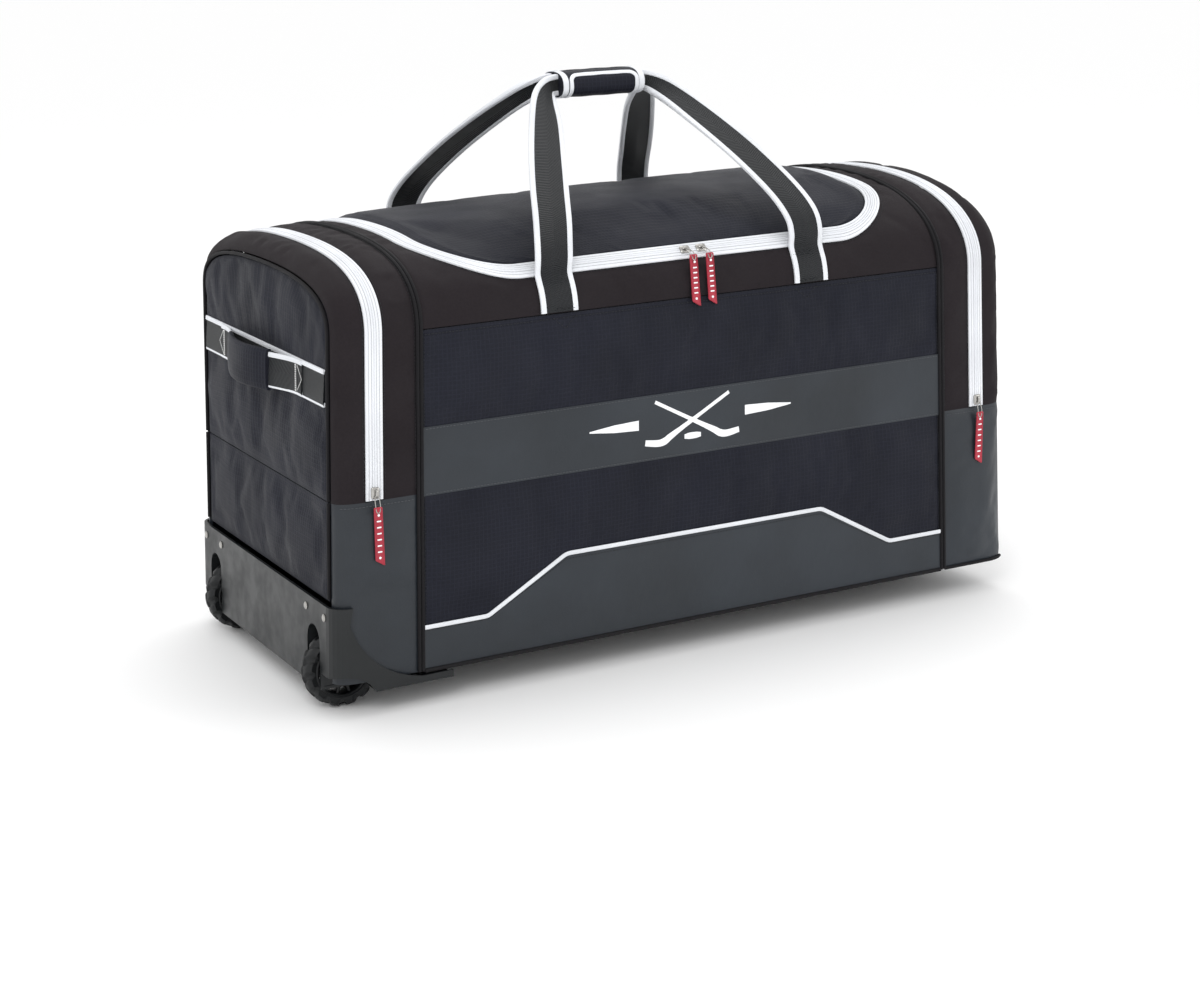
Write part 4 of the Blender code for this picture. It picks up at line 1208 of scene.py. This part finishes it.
def layered(name, outline, levels, place, finish, body, nodes=()):
    """A body built from an outline at levels of (share of its width kept, height), set down by place."""
    middle = outline.mean(0)
    narrow = min(np.ptp(outline[:, 0]), np.ptp(outline[:, 1])) / 2
    rings = []
    for trim, height in levels:
        shrunk = middle + (outline - middle) * (1 - trim / np.maximum(narrow, np.abs(outline - middle)))
        rings.append(place(shrunk[:, 0], shrunk[:, 1], height))
    return sweep(name, rings, finish, body, nodes=nodes, sharp=35)


def make_slider(name, along, out, nodes_body):
    """A zip slider: a waisted body, a bridge over it, set on its zip with its long way along it."""
    low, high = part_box(f"{name}_slider")
    centre = np.array((low + high) / 2)
    along, out = unit(along), unit(out)
    across = np.cross(along, out)
    base = centre - out * 0.0021

    def place(a, s, h):
        a, s, h = (np.asarray(value)[..., None] for value in (a, s, h))
        return base + across * a + along * s + out * h

    outline = oblong(0.0105, 0.0130, 0.0030)
    outline[:, 0] *= 1 - 0.132 * np.cos(outline[:, 1] / 0.0065 * 1.9)
    levels = ((0.0008, 0.0), (0.0, 0.0006), (0.0, 0.0022), (0.0009, 0.0031), (0.0030, 0.0035))
    layered(f"{name}_slider_body", outline, levels, place, "nickel", nodes_body, [f"{name}_slider"])
    turn = np.linspace(0, math.pi, 18)
    path = place(np.zeros(18), -0.0046 * np.cos(turn), 0.0026 + 0.0031 * np.sin(turn) ** 0.7)
    ups = path - place(0.0, 0.0, 0.0)
    strip(f"{name}_slider_bridge", path, ups, rounded(0.0030, 0.0012, 10, 3.0), "nickel", nodes_body)


def make_pull(name, x, route, tab_from, clear):
    """A wire link and a moulded tab that hang along a route of (y, z); clear lifts the tab off the cloth."""
    route = even(curved(np.array(route, float), 8), 0.0010)
    route[:, 0] -= clear * smooth(lengths(route) / 0.018)
    at = lengths(route)
    rigid = at > tab_from
    first = route[rigid][0]
    share = (at[rigid] - tab_from) / (at[-1] - tab_from)
    route[rigid] = lerp(first - (0.0008, 0.0), route[-1], share[:, None])
    run = tangents(route)
    facing = np.stack([run[:, 1], -run[:, 0]], axis=-1)

    def place(a, s, h):
        y, z = np.interp(s, at, route[:, 0]), np.interp(s, at, route[:, 1])
        ny, nz = np.interp(s, at, facing[:, 0]), np.interp(s, at, facing[:, 1])
        return np.stack([x + a + 0 * s, y + ny * h, z + nz * h], axis=-1)

    body = f"{name}_pull"
    length, width = at[-1] - tab_from, 0.0112
    turn = np.linspace(0, math.tau, 40, endpoint=False)
    half = (tab_from + 0.0042) / 2
    across = 0.0028 * np.sign(np.cos(turn)) * np.abs(np.cos(turn)) ** 0.6
    down = half + (half - 0.0002) * np.sign(np.sin(turn)) * np.abs(np.sin(turn)) ** 0.8
    centre = place(across, down, 0.0)
    rings, wire = [], 0.00065
    tangent = unit(np.roll(centre, -1, 0) - np.roll(centre, 1, 0))
    for i, spot in enumerate(centre):
        side = unit(np.cross(tangent[i], (0.0, 0.6, 0.8)))
        top = np.cross(side, tangent[i])
        angles = np.arange(8) * math.tau / 8
        rings.append(spot + wire * (np.cos(angles)[:, None] * side + np.sin(angles)[:, None] * top))
    sweep(f"{name}_pull_link", rings, "nickel", body, closed=True, sharp=60)

    outline = oblong(width, length, 0.0016, slant=0.0085)
    outline[:, 1] += tab_from + length / 2 - 0.002
    outline[:, 0] *= 1 - 0.10 * smooth((tab_from + 0.012 - outline[:, 1]) / 0.012)
    levels = ((0.0005, -0.0010), (0.0, -0.0005), (0.0, 0.0006))
    levels += ((0.0004, 0.0010), (0.0011, 0.0010), (0.0014, 0.0006))
    layered(f"{name}_pull_tab", outline, levels, place, "red", body, [f"{name}_pull"])

    def raised(piece, shape, s, finish, lift=0.0011):
        levels = ((0.0, 0.0004), (0.0, lift - 0.0002), (0.0002, lift))
        layered(f"{name}_pull_{piece}", shape + (0.0, s), levels, place, finish, body)

    dot = oblong(0.0030, 0.0030, 0.00149, 5)
    raised("upper_dot", dot, tab_from + 0.0065, "print", 0.0009)
    raised("lower_dot", dot, tab_from + length - 0.0090, "print", 0.0009)
    for i, s in enumerate(np.linspace(tab_from + 0.0135, tab_from + length - 0.0160, PULL_RIBS)):
        raised(f"rib_{i}", oblong(0.0054, 0.0017, 0.0007, 4), s, "print", 0.0009)


def make_sliders_and_pulls():
    slope = math.radians(47)
    tilt = (0.0, -math.sin(slope), math.cos(slope))
    surround, front = PANELS["top_surround_cloth"], PANELS["front_cloth"]
    swell = max(float(surround.out.max()), float(front.height(np.array(0.5), np.array(0.98)))) * 0.6
    for name in ("main_left", "main_right"):
        low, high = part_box(f"{name}_slider")
        x = (low.x + high.x) / 2
        make_slider(name, (1, 0, 0), tilt, f"{name}_slider")
        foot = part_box(f"{name}_pull")[0].z
        route = [(-0.2032, 0.4893), (-0.2110, 0.4868), (-0.2190, 0.4790), (-0.2222, 0.4690), (-0.2222, foot)]
        make_pull(name, x, route, 0.0165, swell + 0.0012)
    for end, side in (("left", -1), ("right", 1)):
        name = f"{end}_end"
        low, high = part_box(f"{name}_slider")
        x, z = (low.x + high.x) / 2, (low.z + high.z) / 2
        make_slider(name, (-side * TAPER * END_ZIP_X, 0, 1), (0, -1, 0), f"{name}_slider")
        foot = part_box(f"{name}_pull")[0].z
        swell = float(PANELS[f"{end}_corner_front_cloth"].out.max()) * 0.8
        route = [(-0.2266, z - 0.002), (-0.2254, z - 0.012), (-0.2225, z - 0.020)]
        route += [(-0.2222, z - 0.030), (-0.2222, foot)]
        make_pull(name, x, route, 0.0150, swell + 0.0010)


# ---------------------------------------------------------------- printed mark, stitch lines
def make_mark():
    """A plain sports sign on the band: two crossed sticks over a puck, between two tapered bars."""
    cloth = PANELS["front_band_cloth"]
    reach, (low, high) = SEAM_X - 0.0020, BAND_Z

    def place(a, z, h):
        u, v = (a - CENTRE_X + reach) / (2 * reach), (z - low) / (high - low)
        return cloth.place(u, v, 0.0)[0] - np.stack([0 * a, h + 0 * a, 0 * a], axis=-1)

    def print_strip(name, line, widths):
        whole = lengths(np.asarray(line, float))[-1]
        line = even(line, 0.003)
        widths = np.interp(lengths(line) / whole, np.linspace(0, 1, len(widths)), widths)
        side = tangents(line)[:, ::-1] * (-1, 1)
        rings = []
        for spot, across, width in zip(line, side, widths):
            edge = [spot + across * width * k for k in (-0.5, -0.25, 0.0, 0.25, 0.5)]
            top = [place(np.array(p[0]), np.array(p[1]), 0.00045) for p in edge]
            bottom = [place(np.array(p[0]), np.array(p[1]), -0.0004) for p in edge[::-1]]
            rings.append(top + bottom)
        sweep(name, rings, "print", "root", sharp=50)

    for which, side in (("left", -1), ("right", 1)):
        stick = [(side * 0.052, 0.3165), (side * 0.012, 0.2955), (-side * 0.030, 0.2735)]
        stick += [(-side * 0.036, 0.2695), (-side * 0.047, 0.2665), (-side * 0.066, 0.2690)]
        line = curved(stick, 6) + (0.003, 0)
        print_strip(f"mark_{which}_stick", line, (0.0042, 0.0042, 0.0046, 0.0060, 0.0088, 0.0070))
        bar = [(side * 0.075, 0.2915), (side * 0.105, 0.2915), (side * 0.142, 0.2915)]
        print_strip(f"mark_{which}_bar", np.array(bar) + (0.003, 0), (0.0120, 0.0090, 0.0016))
    puck = [(0.003 - 0.0115, 0.2700), (0.003, 0.2700), (0.003 + 0.0115, 0.2700)]
    print_strip("mark_puck", puck, (0.0052, 0.0074, 0.0078, 0.0074, 0.0052))


def panel_stitches(name, panel, u, v, finish, inset=0.0, **options):
    path, up = PANELS[panel].place(np.asarray(u, float), np.asarray(v, float), inset)
    stitches(name, path, up, finish, PANELS[panel].body, **options)


def make_stitch_lines():
    """Topstitching: grey thread on the coated cloth, dark thread on the rest."""
    line = np.linspace(0.004, 0.996, 220)
    band = 1 / (BAND_Z[1] - BAND_Z[0])
    for which, v in (("lower", 0.0022 * band), ("upper", 1 - 0.0022 * band)):
        name, v = f"band_{which}_stitches", v + 0 * line
        panel_stitches(name, "front_band_cloth", line, v, "thread_grey", 0.0001, radius=0.00032)
    panel_stitches("skirt_stitches", "front_skirt_cloth", line, 0.955 + 0 * line, "thread_dark")
    for face in ("front", "back"):
        panel_stitches(f"{face}_shoulder_stitches", f"{face}_cloth", line, 0.988 + 0 * line, "thread_dark")
        for which, u in (("left", 0.006), ("right", 0.994)):
            upright = np.linspace(0.01, 0.99, 120)
            name = f"{face}_{which}_edge_stitches"
            panel_stitches(name, f"{face}_cloth", u + 0 * upright, upright, "thread_dark")
    for end in ("left", "right"):
        short = np.linspace(0.03, 0.80, 40)
        for face in ("front", "back"):
            panel, name = f"{end}_corner_{face}_cloth", f"{end}_corner_{face}_stitches"
            panel_stitches(name, panel, short, 0.978 + 0 * short, "thread_grey", radius=0.00032)
        over = np.linspace(0.005, 0.995, 300)
        for panel, seam, u in (("gusset", "seam", 0.10), ("gusset", "zip", 0.945), ("rim", "zip", 0.035)):
            name = f"{end}_{panel}_{seam}_stitches"
            panel_stitches(name, f"{end}_{panel}_cloth", u + 0 * over, over, "thread_dark")
    around = np.linspace(0.003, 0.997, 420)
    panel_stitches("lid_surround_stitches", "top_surround_cloth", around, 0.035 + 0 * around, "thread_dark")


# ---------------------------------------------------------------- frame pieces that stay
KEPT = {  # node: finish, bevel width
    "bottom_panel": ("lining", 0.0008),
    "base_board": ("board", 0.0010),
    "left_divider": ("lining", 0.0),
    "right_divider": ("lining", 0.0),
    "wheel_guard": ("guard", 0.0009),
    "guard_rivets": ("nickel", 0.0),
    "skid_foot": ("guard", 0.0),
}


def finish_kept_nodes():
    for end in ("front", "back"):
        KEPT[f"{end}_axle"] = ("steel", 0.0008)
        KEPT[f"{end}_wheel_bush"] = ("steel", 0.0)
    for name, (finish, width) in KEPT.items():
        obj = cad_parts[name]
        obj.data.materials.clear()
        obj.data.materials.append(MATERIALS[finish])
        if width:
            modifier = obj.modifiers.new("bevel", "BEVEL")
            modifier.width, modifier.segments = width, 2
            modifier.limit_method, modifier.angle_limit = "ANGLE", math.radians(50)
            modifier.harden_normals = False


PANELS = {}


def main():
    for panel in main_panels() + coated_panels() + top_panels() + end_panels():
        PANELS[panel.name] = panel
    settle(list(PANELS.values()))
    for panel in PANELS.values():
        cloth = panel.build()
    make_welts()
    make_front_piping()
    make_zips()
    for end, mirror in (("front", -1), ("back", 1)):
        make_carry_handle(end, mirror)
        make_tyre(end)
        make_hub(end)
        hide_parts(f"{end}_wheel_hub")
    make_strap_stitching()
    make_grab_handle()
    make_sliders_and_pulls()
    make_mark()
    make_stitch_lines()
    finish_kept_nodes()


main()


# ---------------------------------------------------------------- camera, light and floor
def stage():
    """The camera looks from the front left, a little above, at a plain pale floor in soft light."""
    data = bpy.data.cameras.new("camera")
    data.sensor_width = 36
    data.lens = 68.06
    camera = bpy.data.objects.new("camera", data)
    bpy.context.scene.collection.objects.link(camera)
    azimuth, elevation, roll = math.radians(-28.42), math.radians(15.48), math.radians(-1.18)
    level = math.cos(elevation)
    back = Vector((math.sin(azimuth) * level, -math.cos(azimuth) * level, math.sin(elevation)))
    right = Vector((0, 0, 1)).cross(back).normalized()
    up = back.cross(right)
    turned = Matrix((right, up, back)).transposed() @ Matrix.Rotation(roll, 3, "Z")
    camera.matrix_world = Matrix.Translation((-1.3346, -2.4601, 0.9145)) @ turned.to_4x4()
    bpy.context.scene.camera = camera

    floor = bpy.data.meshes.new("floor")
    size = 30
    corners = [(-size, -size, 0), (size, -size, 0), (size, size, 0), (-size, size, 0)]
    floor.from_pydata(corners, [], [(0, 1, 2, 3)])
    made, _, shader = start_material("floor", 0.9)
    shader.inputs["Base Color"].default_value = (0.97, 0.97, 0.97, 1)
    floor.materials.append(made)
    ground = bpy.data.objects.new("floor", floor)
    bpy.context.scene.collection.objects.link(ground)

    world = bpy.data.worlds.new("world")
    world.use_nodes = True
    world.node_tree.nodes["Background"].inputs[0].default_value = (1.0, 1.0, 1.0, 1)
    world.node_tree.nodes["Background"].inputs[1].default_value = 1.02
    bpy.context.scene.world = world
    target = Vector((0.0, 0.0, 0.30))
    for name, place, size, watts in (
        ("key", (-1.8, -2.4, 2.6), 1.4, 26),
        ("fill", (2.4, -2.4, 1.4), 1.6, 12),
        ("top", (0.4, 0.8, 2.8), 2.0, 18),
    ):
        light = bpy.data.lights.new(name, "AREA")
        light.shape, light.size, light.energy = "DISK", size, watts
        lamp = bpy.data.objects.new(name, light)
        lamp.location = place
        lamp.rotation_euler = (target - lamp.location).to_track_quat("-Z", "Y").to_euler()
        bpy.context.scene.collection.objects.link(lamp)
    bpy.context.scene.view_settings.view_transform = "Standard"


stage()
